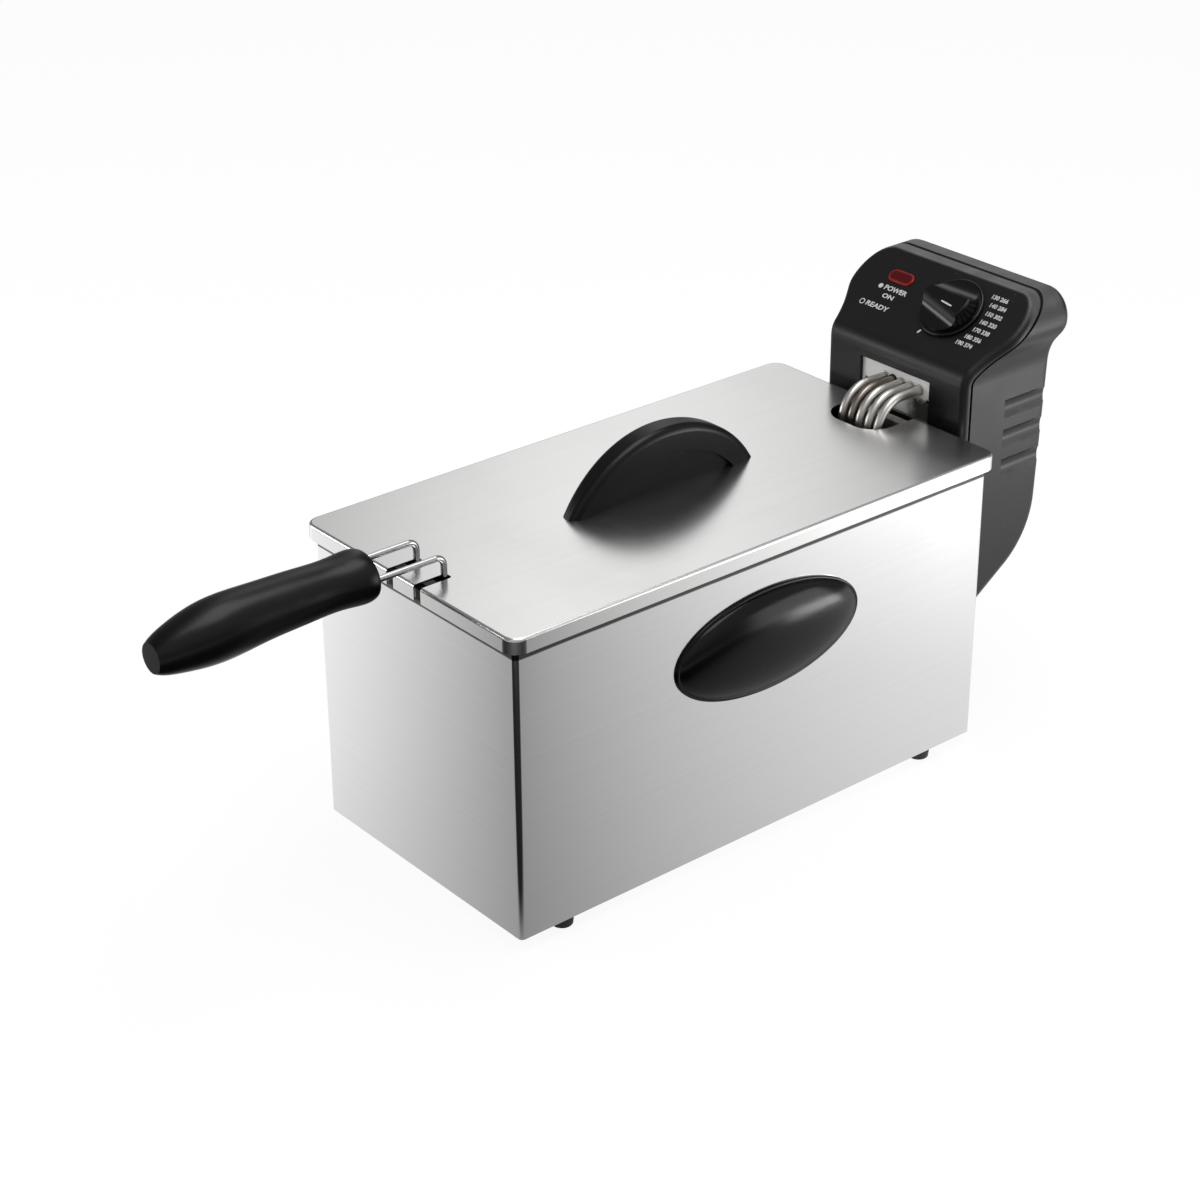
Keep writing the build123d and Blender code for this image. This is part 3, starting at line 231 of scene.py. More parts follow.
# Sparse pale specks: the middles of cells whose own random value is low.
def makeDustSpecks():
    inputs = {"Cells": ("Float", 260.0), "Share": ("Float", 0.15)}
    group, entry, leave = startGroup("dustSpecks", inputs, ["Mask"])
    sockets = {"Vector": entry["Place"], "Scale": entry["Cells"]}
    cells = outputsOf(addNode(group, "ShaderNodeTexVoronoi", sockets))
    chosen = nodeValue(group, "ShaderNodeSeparateColor", {0: cells["Color"]}) < entry["Share"]
    feed(leave["Mask"], chosen * (cells["Distance"] < effects["speckRadius"]))
    return group


brushedGrain = makeBrushedGrain()
handlingMarks = makeHandlingMarks()
mouldedGrain = makeMouldedGrain()
dustSpecks = makeDustSpecks()
print("surface effects ready")


# Painted shading: each takes the place, the colour so far and its own values, and gives the new colour, with
# shade, and on the casing a sheen with dust, painted into it.
# Painted shade: a dark line on the housing's wall just below the lid's rim, standing in for the rim's shadow.
rimShadeLine = {
    "starts": 0.0064,           # how far below the lid's rim the band starts, from its lower edge
    "full": 0.0052,
    "thins": 0.0024,
    "ends": 0.0008,
    "share": 0.9,
    "frayScale": 30.0,
    "fray": 0.0008,
    "colour": (0.02, 0.018, 0.016),
}
# Painted shade round the handle's wires on the housing's front wall and the pot's flange, so the lid's slots
# read dark.
wallSlotShade = {
    "wireRadius": 0.002,
    "full": 0.0095,             # distance from a wire's line where the painted shade is dark
    "gone": 0.0130,             # and where it ends
    "frayScale": 90.0,
    "fray": 0.002,
    "reach": 0.002,             # how far behind the wires it goes on
    "depth": 0.0125,            # below the pot's flange
    "edge": 0.002,
    "colour": (0.012, 0.010, 0.008),
}
flangeSlotShade = {**wallSlotShade, "full": 0.0050, "gone": 0.0075, "depth": 0.004}
# Painted shade on the element plate below the tubes, standing in for the dark recess and its reflection.
plateShade = {
    "top": 0.0020,              # below the tubes' exit
    "bottom": 0.0100,
    "side": 0.004,              # from the plate's middle towards -Y
    "sideEnd": 0.020,
    "share": 0.95,
    "cloudScale": 260.0,
    "cloud": 0.010,
    "colour": (0.012, 0.011, 0.010),
}
# Painted sheen with dust on the casing's upward faces, standing in for light they catch.
upSheenAndDust = {"from": 0.25, "to": 0.75, "cloudScale": 60.0, "least": 0.35, "colour": (0.11, 0.11, 0.11)}


# Painted shade: a dark line on the wall below where the lid's rim ends, standing in for the rim's shadow; it
# fades in and out again over a band of height, and noise frays both edges.
def addFilm(place, colour, paintedLightValues):
    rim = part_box("lid_panel")[0].z
    z = splitParts(place)[2]
    height = z + noiseAt(place, paintedLightValues["frayScale"], detail=3.0) * paintedLightValues["fray"]
    share = fadeBetween(height, rim - paintedLightValues["starts"], rim - paintedLightValues["full"], 0.0, paintedLightValues["share"])
    share = share * fadeBetween(height, rim - paintedLightValues["thins"], rim - paintedLightValues["ends"], 1.0, 0.0)
    return blendColours(place.tree, share, colour, (*paintedLightValues["colour"], 1.0))


# Painted shade round the handle's wires, where they cross the front edge, so the lid's slots read dark: dark
# within some millimetres of each wire's line, only near the front wall and close below the pot's flange.
def addDrips(place, colour, slotShade):
    low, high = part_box("handle_wires")
    wireLine = (high.y - low.y) / 2 - slotShade["wireRadius"]
    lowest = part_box("oil_pot")[1].z - slotShade["depth"]
    x, y, z = splitParts(place)
    fray = noiseAt(place, slotShade["frayScale"], detail=3.0) * slotShade["fray"]
    near = fadeBetween(abs(abs(y) - wireLine) + fray, slotShade["full"], slotShade["gone"], 1.0, 0.0)
    front = x < high.x + slotShade["reach"]
    above = fadeBetween(z + fray, lowest, lowest + slotShade["edge"])
    return blendColours(place.tree, near * (front * above), colour, (*slotShade["colour"], 1.0))


# Painted shade under the tubes' exit, on the plate's lower part on the -Y side, standing in for the dark
# recess there: the share grows downwards and towards -Y, with a coarse noise in it.
def addSoot(place, colour, plateShadeValues):
    low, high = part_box("element_ferrules")
    _, y, z = splitParts(place)
    cloud = (noiseAt(place, plateShadeValues["cloudScale"], detail=4.0) - 0.5) * plateShadeValues["cloud"]
    down = ((low.z + high.z) / 2 - z) + cloud
    share = fadeBetween(down, plateShadeValues["top"], plateShadeValues["bottom"], 0.0, plateShadeValues["share"])
    share = share * fadeBetween(cloud - y, plateShadeValues["side"], plateShadeValues["sideEnd"])
    return blendColours(place.tree, share, colour, (*plateShadeValues["colour"], 1.0))


# Painted sheen with dust: a pale film on faces turned up but not forwards, standing in for the light they
# catch, from the normal's Z less the size of its X, so the sloping panel stays without it.
def addSettled(place, colour, paintedLightValues):
    normal = shaderValue(place.tree.nodes.new("ShaderNodeNewGeometry").outputs["Normal"])
    x, _, z = splitParts(normal)
    share = fadeBetween(z - abs(x), paintedLightValues["from"], paintedLightValues["to"])
    share = share * (noiseAt(place, paintedLightValues["cloudScale"], detail=3.0) + paintedLightValues["least"])
    return blendColours(place.tree, share, colour, (*paintedLightValues["colour"], 1.0))


# Finishes
def startFinish(name):
    material = bpy.data.materials.new(name)
    material.use_nodes = True
    tree = material.node_tree
    return material, tree.nodes["Principled BSDF"].inputs, objectPlace(tree)


# A colour times a tone that varies round one.
def tonedColour(colour, tone):
    grey = nodeValue(tone.tree, "ShaderNodeCombineColor", {0: tone, 1: tone, 2: tone})
    return blendColours(tone.tree, 1.0, (*colour, 1.0), grey, "MULTIPLY")


# A height between 0 and 1 as a bump of that many metres.
def addBump(shader, height, strength, distance):
    sockets = {"Strength": strength, "Distance": distance, "Height": height}
    feed(shader["Normal"], nodeValue(height.tree, "ShaderNodeBump", sockets))


# Metal: base colour times streak tone and then its painted shade, roughness raised by handling marks,
# streaks as bump.
def metalFinish(name, look):
    material, shader, place = startFinish(name)
    grain = placeGroup(brushedGrain, place, Stretch=look["stretch"], Contrast=look["contrast"])
    marks = placeGroup(handlingMarks, place, Size=look["marksSize"], Amount=look["marks"])
    colour = tonedColour(look["colour"], grain["Tone"])
    for addPaintedShading, values in look["paintedShading"]:
        colour = addPaintedShading(place, colour, values)
    feed(shader["Base Color"], colour)
    feed(shader["Metallic"], look["metallic"])
    feed(shader["Roughness"], marks["Roughness"] + look["roughness"])
    addBump(shader, grain["Height"], look["bump"], look["depth"])
    return material


# Plastic: dark base clouded by the mould's tone with a few dust specks, then any painted shading, pebbled
# bump.
def plasticFinish(name, look):
    material, shader, place = startFinish(name)
    grain = placeGroup(mouldedGrain, place, Cells=look["cells"])
    dust = placeGroup(dustSpecks, place, Share=look["dust"])
    marks = placeGroup(handlingMarks, place, Size=look["marksSize"], Amount=look["marks"])
    colour = tonedColour(look["colour"], grain["Tone"])
    specks = dust["Mask"] * look["dustStrength"]
    colour = blendColours(place.tree, specks, colour, (*look["dustColour"], 1.0))
    for addPaintedShading, values in look["paintedShading"]:
        colour = addPaintedShading(place, colour, values)
    feed(shader["Base Color"], colour)
    feed(shader["Roughness"], marks["Roughness"] + look["roughness"])
    feed(shader["IOR"], look["ior"])
    addBump(shader, grain["Height"], look["bump"], look["depth"])
    return material


# A mesh's points, one row each.
def meshPoints(mesh):
    points = np.empty(len(mesh.vertices) * 3)
    mesh.vertices.foreach_get("co", points)
    return points.reshape(-1, 3)


# The middle of the lens's outermost face.
def lensFace(skin=0.0002):
    points = meshPoints(nodes["lamp_lens"].data)
    heights = points @ np.array(panelNormal)
    face = points[heights > heights.max() - skin]
    return Vector((face.max(axis=0) + face.min(axis=0)) / 2)


# Lamp lens: deep red with a paler rim, by distance from the slot-shaped middle, and fine ribs.
def lensFinish(name, look):
    material, shader, place = startFinish(name)
    middle = lensFace()
    x, y, _ = splitParts(place)
    beyond = larger(abs(y - middle.y) - look["core"], 0.0)
    climb = (x - middle.x) / panelUp.x
    reach = mathNode(place.tree, "SQRT", beyond ** 2.0 + climb ** 2.0)
    rim = fadeBetween(reach, look["rimFrom"], look["rimTo"])
    colour = blendColours(place.tree, rim, (*look["coreColour"], 1.0), (*look["rimColour"], 1.0))
    feed(shader["Base Color"], colour)
    smears = noiseAt(place, look["smearScale"]) * look["smears"]
    feed(shader["Roughness"], smears + look["roughness"])
    feed(shader["IOR"], look["ior"])
    addBump(shader, mathNode(place.tree, "SINE", y * look["ribs"]), look["bump"], look["depth"])
    return material


# Printed ink: off-white, worn thin in places.
def inkFinish(name, look):
    material, shader, place = startFinish(name)
    wear = noiseAt(place, look["wearScale"], detail=4.0)
    colour = blendColours(place.tree, wear, (*look["thin"], 1.0), (*look["full"], 1.0))
    feed(shader["Base Color"], colour)
    feed(shader["Roughness"], look["roughness"])
    return material


# Streaks for each metre along X, Y and Z: long along one direction, or the same in all.
alongX = (5.0, 1500.0, 1500.0)
levelAround = (5.0, 5.0, 1500.0)
evenly = (700.0, 700.0, 700.0)
mottled = (160.0, 160.0, 160.0)

plainMetal = dict(
    metallic=1.0, stretch=evenly, contrast=0.14, marks=0.10, marksSize=9.0,
    bump=0.2, depth=0.00002, paintedShading=[],
)
metalLooks = {
    "housingSteel": dict(
        colour=(0.86, 0.86, 0.865), roughness=0.16, stretch=levelAround, contrast=0.10, marks=0.05,
        bump=0.35, paintedShading=[(addFilm, rimShadeLine), (addDrips, wallSlotShade)],
    ),
    "lidSteel": dict(
        colour=(0.87, 0.868, 0.862), roughness=0.22, stretch=alongX, contrast=0.10, marks=0.05,
        bump=0.30,
    ),
    "potSteel": dict(
        colour=(0.78, 0.78, 0.785), roughness=0.24, stretch=levelAround, contrast=0.12, marks=0.08,
        bump=0.3, paintedShading=[(addDrips, flangeSlotShade)],
    ),
    "sheetSteel": dict(
        colour=(0.80, 0.80, 0.80), roughness=0.36, contrast=0.16, marks=0.12,
        bump=0.25, depth=0.00003,
    ),
    "elementSteel": dict(
        colour=(0.70, 0.675, 0.64), roughness=0.36, stretch=mottled, contrast=0.30, marks=0.12,
    ),
    "sensorCopper": dict(
        colour=(0.34, 0.30, 0.27), roughness=0.32, stretch=mottled, contrast=0.30, marks=0.12,
    ),
    "chromedWire": dict(
        colour=(0.66, 0.66, 0.665), roughness=0.14, contrast=0.04, marks=0.05,
        bump=0.06, depth=0.00001,
    ),
    "basketWire": dict(
        colour=(0.90, 0.90, 0.90), roughness=0.32, contrast=0.12, bump=0.1, depth=0.00001,
    ),
    "paleZinc": dict(
        colour=(0.93, 0.93, 0.91), roughness=0.42, metallic=0.12, contrast=0.10, marks=0.12,
        depth=0.00003, paintedShading=[(addSoot, plateShade)],
    ),
    "screwSteel": dict(colour=(0.70, 0.70, 0.70), roughness=0.28),
    "dullNickel": dict(colour=(0.60, 0.58, 0.55), roughness=0.38),
}
plainPlastic = dict(
    ior=1.5, dustStrength=0.25, dustColour=(0.4, 0.39, 0.37), marksSize=14.0, depth=0.00004, paintedShading=[],
)
plasticLooks = {
    "satinCasing": dict(
        colour=(0.0045, 0.0045, 0.0048), roughness=0.38, ior=1.43, cells=1500.0,
        dust=0.04, marks=0.05, bump=0.25, paintedShading=[(addSettled, upSheenAndDust)],
    ),
    "glossGrip": dict(
        colour=(0.0015, 0.0015, 0.0016), roughness=0.19, ior=1.33, cells=900.0,
        dust=0.03, marks=0.04, bump=0.03,
    ),
    "satinHandle": dict(
        colour=(0.003, 0.003, 0.0033), roughness=0.29, ior=1.34, cells=1300.0,
        dust=0.04, marks=0.06, bump=0.18,
    ),
    "knobPlastic": dict(
        colour=(0.003, 0.003, 0.0033), roughness=0.18, ior=1.42, cells=1200.0,
        dust=0.03, marks=0.05, bump=0.05,
    ),
    "footRubber": dict(
        colour=(0.020, 0.020, 0.020), roughness=0.62, cells=1000.0,
        dust=0.12, marks=0.08, bump=0.30,
    ),
    "creamPlastic": dict(
        colour=(0.66, 0.63, 0.54), roughness=0.42, cells=1100.0,
        dust=0.05, marks=0.06, bump=0.15,
    ),
    "resetPlastic": dict(
        colour=(0.42, 0.03, 0.03), roughness=0.25, cells=900.0,
        dust=0.04, marks=0.06, bump=0.05,
    ),
}
lensLook = {
    "core": 0.006,              # half length of the straight middle
    "rimFrom": 0.0028,
    "rimTo": 0.0042,
    "coreColour": (0.075, 0.001, 0.002),
    "rimColour": (0.25, 0.014, 0.012),
    "ribs": 5200.0,
    "bump": 0.35,
    "depth": 0.0002,
    "smearScale": 120.0,
    "smears": 0.1,
    "roughness": 0.12,
    "ior": 1.35,
}
inkLook = {"thin": (0.45, 0.45, 0.44), "full": (0.74, 0.74, 0.73), "wearScale": 900.0, "roughness": 0.5}

finishes = {name: metalFinish(name, plainMetal | look) for name, look in metalLooks.items()}
finishes |= {name: plasticFinish(name, plainPlastic | look) for name, look in plasticLooks.items()}
finishes["redLens"] = lensFinish("redLens", lensLook)
finishes["whiteInk"] = inkFinish("whiteInk", inkLook)

nodeFinishes = {
    "housingSteel": ["housing_shell"],
    "lidSteel": ["lid_panel"],
    "potSteel": ["oil_pot"],
    "sheetSteel": ["base_plate", "rear_bracket", "hook_plate", "element_clips"],
    "paleZinc": ["element_plate"],
    "elementSteel": ["heating_element"],
    "sensorCopper": ["sensor_tube"],
    "chromedWire": ["basket_frame", "handle_bracket", "handle_wires"],
    "basketWire": ["basket_mesh"],
    "screwSteel": [
        "foot_screws", "side_grip_screws", "bracket_rivets", "head_screws", "thermostat_spindle",
        "lid_handle_screws",
    ],
    "dullNickel": ["element_ferrules"],
    "satinCasing": ["head_front_shell", "head_rear_shell", "cord_gland"],
    "glossGrip": ["side_grip_right", "side_grip_left"],
    "satinHandle": ["handle_grip", "lid_handle"],
    "knobPlastic": ["thermostat_knob"],
    "footRubber": ["rubber_feet", "sensor_grommet"],
    "creamPlastic": ["thermostat", "thermal_cutout", "interlock_switch", "terminal_block", "pilot_lamp"],
    "resetPlastic": ["reset_button"],
    "redLens": ["lamp_lens"],
}
for finishName, members in nodeFinishes.items():
    for member in members:
        for slot in nodes[member].material_slots:
            slot.material = finishes[finishName]
print("finishes placed on", sum(len(members) for members in nodeFinishes.values()), "nodes")


# A new piece of smooth faces, in one finish, that moves with a body.
def addPiece(name, vertices, faces, finish, body):
    mesh = bpy.data.meshes.new(name)
    mesh.from_pydata(vertices.tolist(), [], faces.tolist())
    mesh.polygons.foreach_set("use_smooth", np.ones(len(mesh.polygons), bool))
    mesh.materials.append(finishes[finish])
    piece = bpy.data.objects.new(name, mesh)
    bpy.context.scene.collection.objects.link(piece)
    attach(piece, body)
    return piece


# Basket wire cloth
cloth = {
    "pitch": 0.081 / 13,        # a whole number of pitches between half the length and half the width
    "wireRadius": 0.00055,
    "wireSides": 4,
    "weave": 0.00057,           # how far a wire swings from the cloth's middle
    "cornerWires": 6,
    "corner": 0.018,
    "floorRadius": 0.0074,
    "bendSteps": 9,
    "inset": 0.0006,            # from the basket's outer face to the cloth's middle
    "taper": math.radians(2.6),
    "stepsPerPitch": 2,
    "cornerLap": 0.002,         # how far the corner wires reach under the bend
}


# Round wires along many paths at once: each path point gets a ring of points, at equal angles
# round the tangent, with the first one towards the given normal. Closed paths join up, and the
# others end in a flat face.
def wireTubes(paths, normals, closed):
    radius, sides = cloth["wireRadius"], cloth["wireSides"]
    count, length = paths.shape[:2]
    if closed:
        tangents = np.roll(paths, -1, axis=1) - np.roll(paths, 1, axis=1)
    else:
        tangents = np.gradient(paths, axis=1)
    tangents /= np.linalg.norm(tangents, axis=2, keepdims=True)
    across = np.cross(tangents, normals)
    across /= np.linalg.norm(across, axis=2, keepdims=True)
    outward = np.cross(across, tangents)
    angles = np.arange(sides) * 2 * np.pi / sides
    ring = outward[:, :, None] * np.cos(angles)[:, None] + across[:, :, None] * np.sin(angles)[:, None]
    points = paths[:, :, None] + radius * ring
    index = np.arange(count * length * sides).reshape(count, length, sides)
    here, ahead = (index, np.roll(index, -1, axis=1)) if closed else (index[:, :-1], index[:, 1:])
    faces = np.stack([here, np.roll(here, -1, axis=2), np.roll(ahead, -1, axis=2), ahead], axis=-1)
    faces = faces.reshape(-1, 4)
    if not closed:
        faces = np.concatenate([faces, index[:, 0, ::-1], index[:, -1]])
    return points.reshape(-1, 3), faces


# The cloth's section from rim to floor, as inward offset and drop against length: a straight
# wall that leans by the taper, and an arc that ends level with the floor.
def clothSection(depth):
    lean, bend = cloth["taper"], cloth["floorRadius"]
    turn = math.pi / 2 - lean
    tangent = bend * math.tan(turn / 2)
    foot = cloth["inset"] + depth * math.tan(lean)
    wallLength = depth / math.cos(lean) - tangent
    angles = np.linspace(0.0, turn, cloth["bendSteps"])
    startOffset = foot - tangent * math.sin(lean)
    startDrop = depth - tangent * math.cos(lean)
    arcOffset = startOffset + bend * (math.cos(lean) - np.cos(angles + lean))
    arcDrop = startDrop + bend * (np.sin(angles + lean) - math.sin(lean))
    lengths = np.concatenate([[0.0], wallLength + bend * angles])
    return lengths, np.concatenate([[cloth["inset"]], arcOffset]), np.concatenate([[0.0], arcDrop])


# The rim's outline as one station for each upright wire: along two long sides, two ends and
# four corner arcs. Each has its outward normal and the number of its side, or -1 in a corner.
def clothStations(halfLong, halfWide):
    pitch, corner, cornerWires = cloth["pitch"], cloth["corner"], cloth["cornerWires"]
    alongCount = 2 * int((halfLong - corner) / pitch)
    acrossCount = 2 * int((halfWide - corner) / pitch)
    alongPlaces = (np.arange(alongCount) - (alongCount - 1) / 2) * pitch
    acrossPlaces = (np.arange(acrossCount) - (acrossCount - 1) / 2) * pitch
    turns = np.arange(1, cornerWires + 1) / (cornerWires + 1) * np.pi / 2
    places, outward, sides = [], [], []
    for quarter in range(4):
        flip = 1.0 if quarter < 2 else -1.0
        if quarter % 2 == 0:
            run = np.stack([-flip * alongPlaces, np.full(alongCount, flip * halfWide)], axis=1)
        else:
            run = np.stack([np.full(acrossCount, -flip * halfLong), -flip * acrossPlaces], axis=1)
        start = np.pi / 2 * (quarter + 1)
        normal = np.array([np.cos(start), np.sin(start)])
        rays = np.stack([np.cos(start + turns), np.sin(start + turns)], axis=1)
        centre = np.array([halfLong - corner, halfWide - corner]) * np.sign(rays[0])
        places += [run, centre + corner * rays]
        outward += [np.tile(normal, (len(run), 1)), rays]
        sides += [np.full(len(run), quarter), np.full(cornerWires, -1)]
    return np.concatenate(places), np.concatenate(outward), np.concatenate(sides)


# Woven wire cloth: upright wires at each station and level rings round the walls, and wires
# both ways across the floor. Each swings past the next by a sine of half a turn per pitch.
def weaveBasket():
    low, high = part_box("basket_mesh")
    middle = (low + high) / 2
    halfLong, halfWide = (high.x - low.x) / 2, (high.y - low.y) / 2
    pitch, swing, steps = cloth["pitch"], cloth["weave"], cloth["stepsPerPitch"]
    places, outward, sides = clothStations(halfLong, halfWide)
    lengths, offsets, drops = clothSection(high.z - low.z - cloth["inset"])
    wallLength = lengths[-1]
    reachAcross, reachAlong = halfWide - offsets[-1], halfLong - offsets[-1]
    top = wallLength + reachAcross
    signs = np.where(np.arange(len(places)) % 2 == 0, 1.0, -1.0)
    pieces = []

    # offset inwards and drop below the rim, where travel is counted from the middle of the floor
    def section(travel, reach):
        down = wallLength + reach - np.abs(travel)
        offset = np.interp(down, lengths, offsets) + np.maximum(down - wallLength, 0.0)
        return offset, np.interp(down, lengths, drops)

    # the cloth's own normal, outwards and upwards, from two sections a hair apart, where the
    # nudge counts the floor's middle as positive
    def sectionNormal(travel, reach, hair=1e-5, nudge=1e-9):
        near, nearDrop = section(travel - hair, reach)
        far, farDrop = section(travel + hair, reach)
        slope = np.stack([far - near, farDrop - nearDrop], axis=-1)
        slope *= np.sign(travel + nudge)[..., None]
        slope /= np.linalg.norm(slope, axis=-1, keepdims=True)
        return -slope[..., 1], slope[..., 0]

    # wires through the given stations, lifted off the cloth's middle along its normal
    def layWires(stations, out, travel, reach, lift, closed=False):
        travel = np.broadcast_to(travel, lift.shape)
        offset, drop = section(travel, reach)
        leanOut, leanUp = sectionNormal(travel, reach)
        flat = stations - out * (offset - leanOut * lift)[..., None] + [middle.x, middle.y]
        paths = np.concatenate([flat, (high.z - drop + leanUp * lift)[..., None]], axis=-1)
        normals = np.concatenate([out * leanOut[..., None], leanUp[..., None]], axis=-1)
        pieces.append(wireTubes(paths, normals, closed))

    # down one wall, over the floor and up the other, first from the long sides, then the ends
    for side, reach in ((0, reachAcross), (1, reachAlong)):
        span = wallLength + reach
        travel = np.linspace(-span, span, 2 * int(span / pitch * steps) + 1)
        own, normal = places[sides == side], outward[sides == side][0]
        lift = signs[sides == side][:, None] * swing * np.sin(np.pi * travel / pitch)[None]
        half = np.where(travel >= 0, 1.0, -1.0)[None, :, None]
        along = own * (1 - np.abs(normal))
        stations = along[:, None] + half * normal * (own * normal).sum(axis=1)[:, None, None]
        layWires(stations, np.broadcast_to(half * normal, stations.shape), travel, reach, lift)

    # corner wires end under the bend
    corner = sides < 0
    travel = np.linspace(reachAcross - cloth["cornerLap"], top, int(wallLength / pitch * steps) + 2)
    lift = signs[corner][:, None] * swing * np.sin(np.pi * travel / pitch)[None]
    layWires(places[corner][:, None], outward[corner][:, None], travel, reachAcross, lift)

    # a closed line round the stations, at even parts of the step from one to the next
    phase = np.arange(len(places) * steps) / steps

    def around(values):
        closed = np.concatenate([values, values[:1]])
        columns = [np.interp(phase, np.arange(len(closed)), column) for column in closed.T]
        return np.stack(columns, axis=1)

    # level rings, at half pitches from the middle of the floor
    levels = (np.arange(int(reachAcross / pitch) + 1, int(top / pitch)) + 0.5) * pitch
    order = np.round(levels / pitch - 0.5)
    lift = -np.cos(np.pi * order)[:, None] * swing * np.cos(np.pi * phase)[None]
    ringOut = around(outward)
    ringOut /= np.linalg.norm(ringOut, axis=1, keepdims=True)
    layWires(around(places), ringOut, levels[:, None], reachAcross, lift, closed=True)

    starts = np.cumsum([0] + [len(points) for points, _ in pieces])
    vertices = np.concatenate([points for points, _ in pieces])
    faces = np.concatenate([quads + start for (_, quads), start in zip(pieces, starts)])
    return vertices, faces


clothVertices, clothFaces = weaveBasket()
basketCloth = addPiece("basketCloth", clothVertices, clothFaces, "basketWire", "basket")
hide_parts("basket_mesh")
print("basket cloth:", len(clothFaces) * 2, "triangles")


# Print on the panel
dial = {
    "celsius": (130, 140, 150, 160, 170, 180, 190),
    "numberRadius": 0.0375,
    "innerRadius": 0.0295,
    "firstTurn": 60.0,          # degrees clockwise from up the slope
    "lastTurn": 124.0,
    "size": 0.0045,
    "tickTurn": 206.0,
    "tickRadius": 0.0264,
    "tickSize": (0.0017, 0.0007),
}
lampMarks = {
    "rows": (                   # down the slope, towards -Y, shape, word, letter size, width
        (0.0105, 0.0000, "dot", "POWER", 0.0052, 0.0265),
        (0.0168, 0.0005, "", "ON", 0.0048, 0.0100),
        (0.0262, -0.0050, "ring", "READY", 0.0052, 0.0265),
    ),
    "markRadius": 0.0019,
    "gap": 0.0014,
}
pointer = {"turn": 97.0, "length": 0.0105, "halfWidth": 0.0006, "aside": 0.0032}
ink = {
    "thickness": 0.00004,
    "bold": 0.00015,
    "curveSteps": 3,
    "around": 24,               # points round a mark
    "pillLevels": 7,
    "pillEdge": 0.3,            # how round a pill's edge is, from 0, square, to 1, a ball
    "ringSides": 8,
    "ringThickness": 0.00012,
    "ringSquash": 3,            # how many times wider than thick a ring's section is
}


# Placement whose X runs right, Y up the slope and Z out of the panel, counted from the knob.
def panelMatrix(up, right, height=0.0):
    place = knobCentre + panelUp * up + panelRight * right + panelNormal * height
    turn = Matrix((panelRight, panelUp, panelNormal)).transposed().to_4x4()
    return Matrix.Translation(place) @ turn


# A turn about the panel's normal that points X along a direction, given clockwise from up.
def clockTurn(turn):
    return Matrix.Rotation(math.pi / 2 - turn, 4, "Z")


# Letters from the built-in typeface, as thin solid plates centred on their own origin.
def letterMesh(text, size):
    curve = bpy.data.curves.new("letters", "FONT")
    curve.body = text
    curve.size = size
    curve.extrude = ink["thickness"]
    curve.offset = ink["bold"]
    curve.resolution_u = ink["curveSteps"]
    curve.align_x = "CENTER"
    curve.align_y = "CENTER"
    holder = bpy.data.objects.new("letters", curve)
    bpy.context.scene.collection.objects.link(holder)
    bpy.context.view_layer.update()
    mesh = bpy.data.meshes.new_from_object(holder)
    bpy.data.objects.remove(holder)
    return mesh


# A flat pill with rounded ends: a squashed ball whose outline is a superellipse, so that the
# sine and cosine of the turn are raised to a power and keep their signs.
def pillMesh(halfLength, halfWidth, power=0.5):
    turns = np.linspace(0, 2 * np.pi, ink["around"] + 1)[:-1]
    tilts = np.linspace(-np.pi / 2, np.pi / 2, ink["pillLevels"])[1:-1]
    u, v = np.meshgrid(turns, tilts)
    cosine, sine = np.cos(u), np.sin(u)
    narrowing = np.cos(v) ** ink["pillEdge"]
    x = halfLength * np.sign(cosine) * np.abs(cosine) ** power * narrowing
    y = halfWidth * np.sign(sine) * np.abs(sine) ** power * narrowing
    points = np.stack([x, y, ink["thickness"] * np.sin(v)], axis=-1).reshape(-1, 3)
    index = np.arange(len(points)).reshape(u.shape)
    ahead = np.roll(index, -1, axis=1)
    quads = np.stack([index[:-1], ahead[:-1], ahead[1:], index[1:]], axis=-1).reshape(-1, 4)
    mesh = bpy.data.meshes.new("pill")
    mesh.from_pydata(points.tolist(), [], quads.tolist() + [index[0, ::-1].tolist(), index[-1].tolist()])
    return mesh


# A flat ring: a small squashed circle carried round a large one.
def ringMesh(radius):
    around, sides, thickness = ink["around"], ink["ringSides"], ink["ringThickness"]
    u, v = np.meshgrid(np.arange(around) * 2 * np.pi / around, np.arange(sides) * 2 * np.pi / sides)
    reach = radius + thickness * ink["ringSquash"] * np.cos(v)
    points = np.stack([reach * np.cos(u), reach * np.sin(u), thickness * np.sin(v)], axis=-1).reshape(-1, 3)
    index = np.arange(len(points)).reshape(u.shape)
    ahead = np.roll(index, -1, axis=1)
    quads = np.stack([index, ahead, np.roll(ahead, -1, axis=0), np.roll(index, -1, axis=0)], axis=-1)
    mesh = bpy.data.meshes.new("ring")
    mesh.from_pydata(points.tolist(), [], quads.reshape(-1, 4).tolist())
    return mesh


# One printed piece from pairs of a mesh and its placement.
def joinPrint(name, parts, body):
    gathered = bmesh.new()
    for mesh, placement in parts:
        mesh.transform(placement)
        gathered.from_mesh(mesh)
    mesh = bpy.data.meshes.new(name)
    gathered.to_mesh(mesh)
    gathered.free()
    mesh.materials.clear()
    mesh.materials.append(finishes["whiteInk"])
    piece = bpy.data.objects.new(name, mesh)
    bpy.context.scene.collection.objects.link(piece)
    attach(piece, body)
    return piece


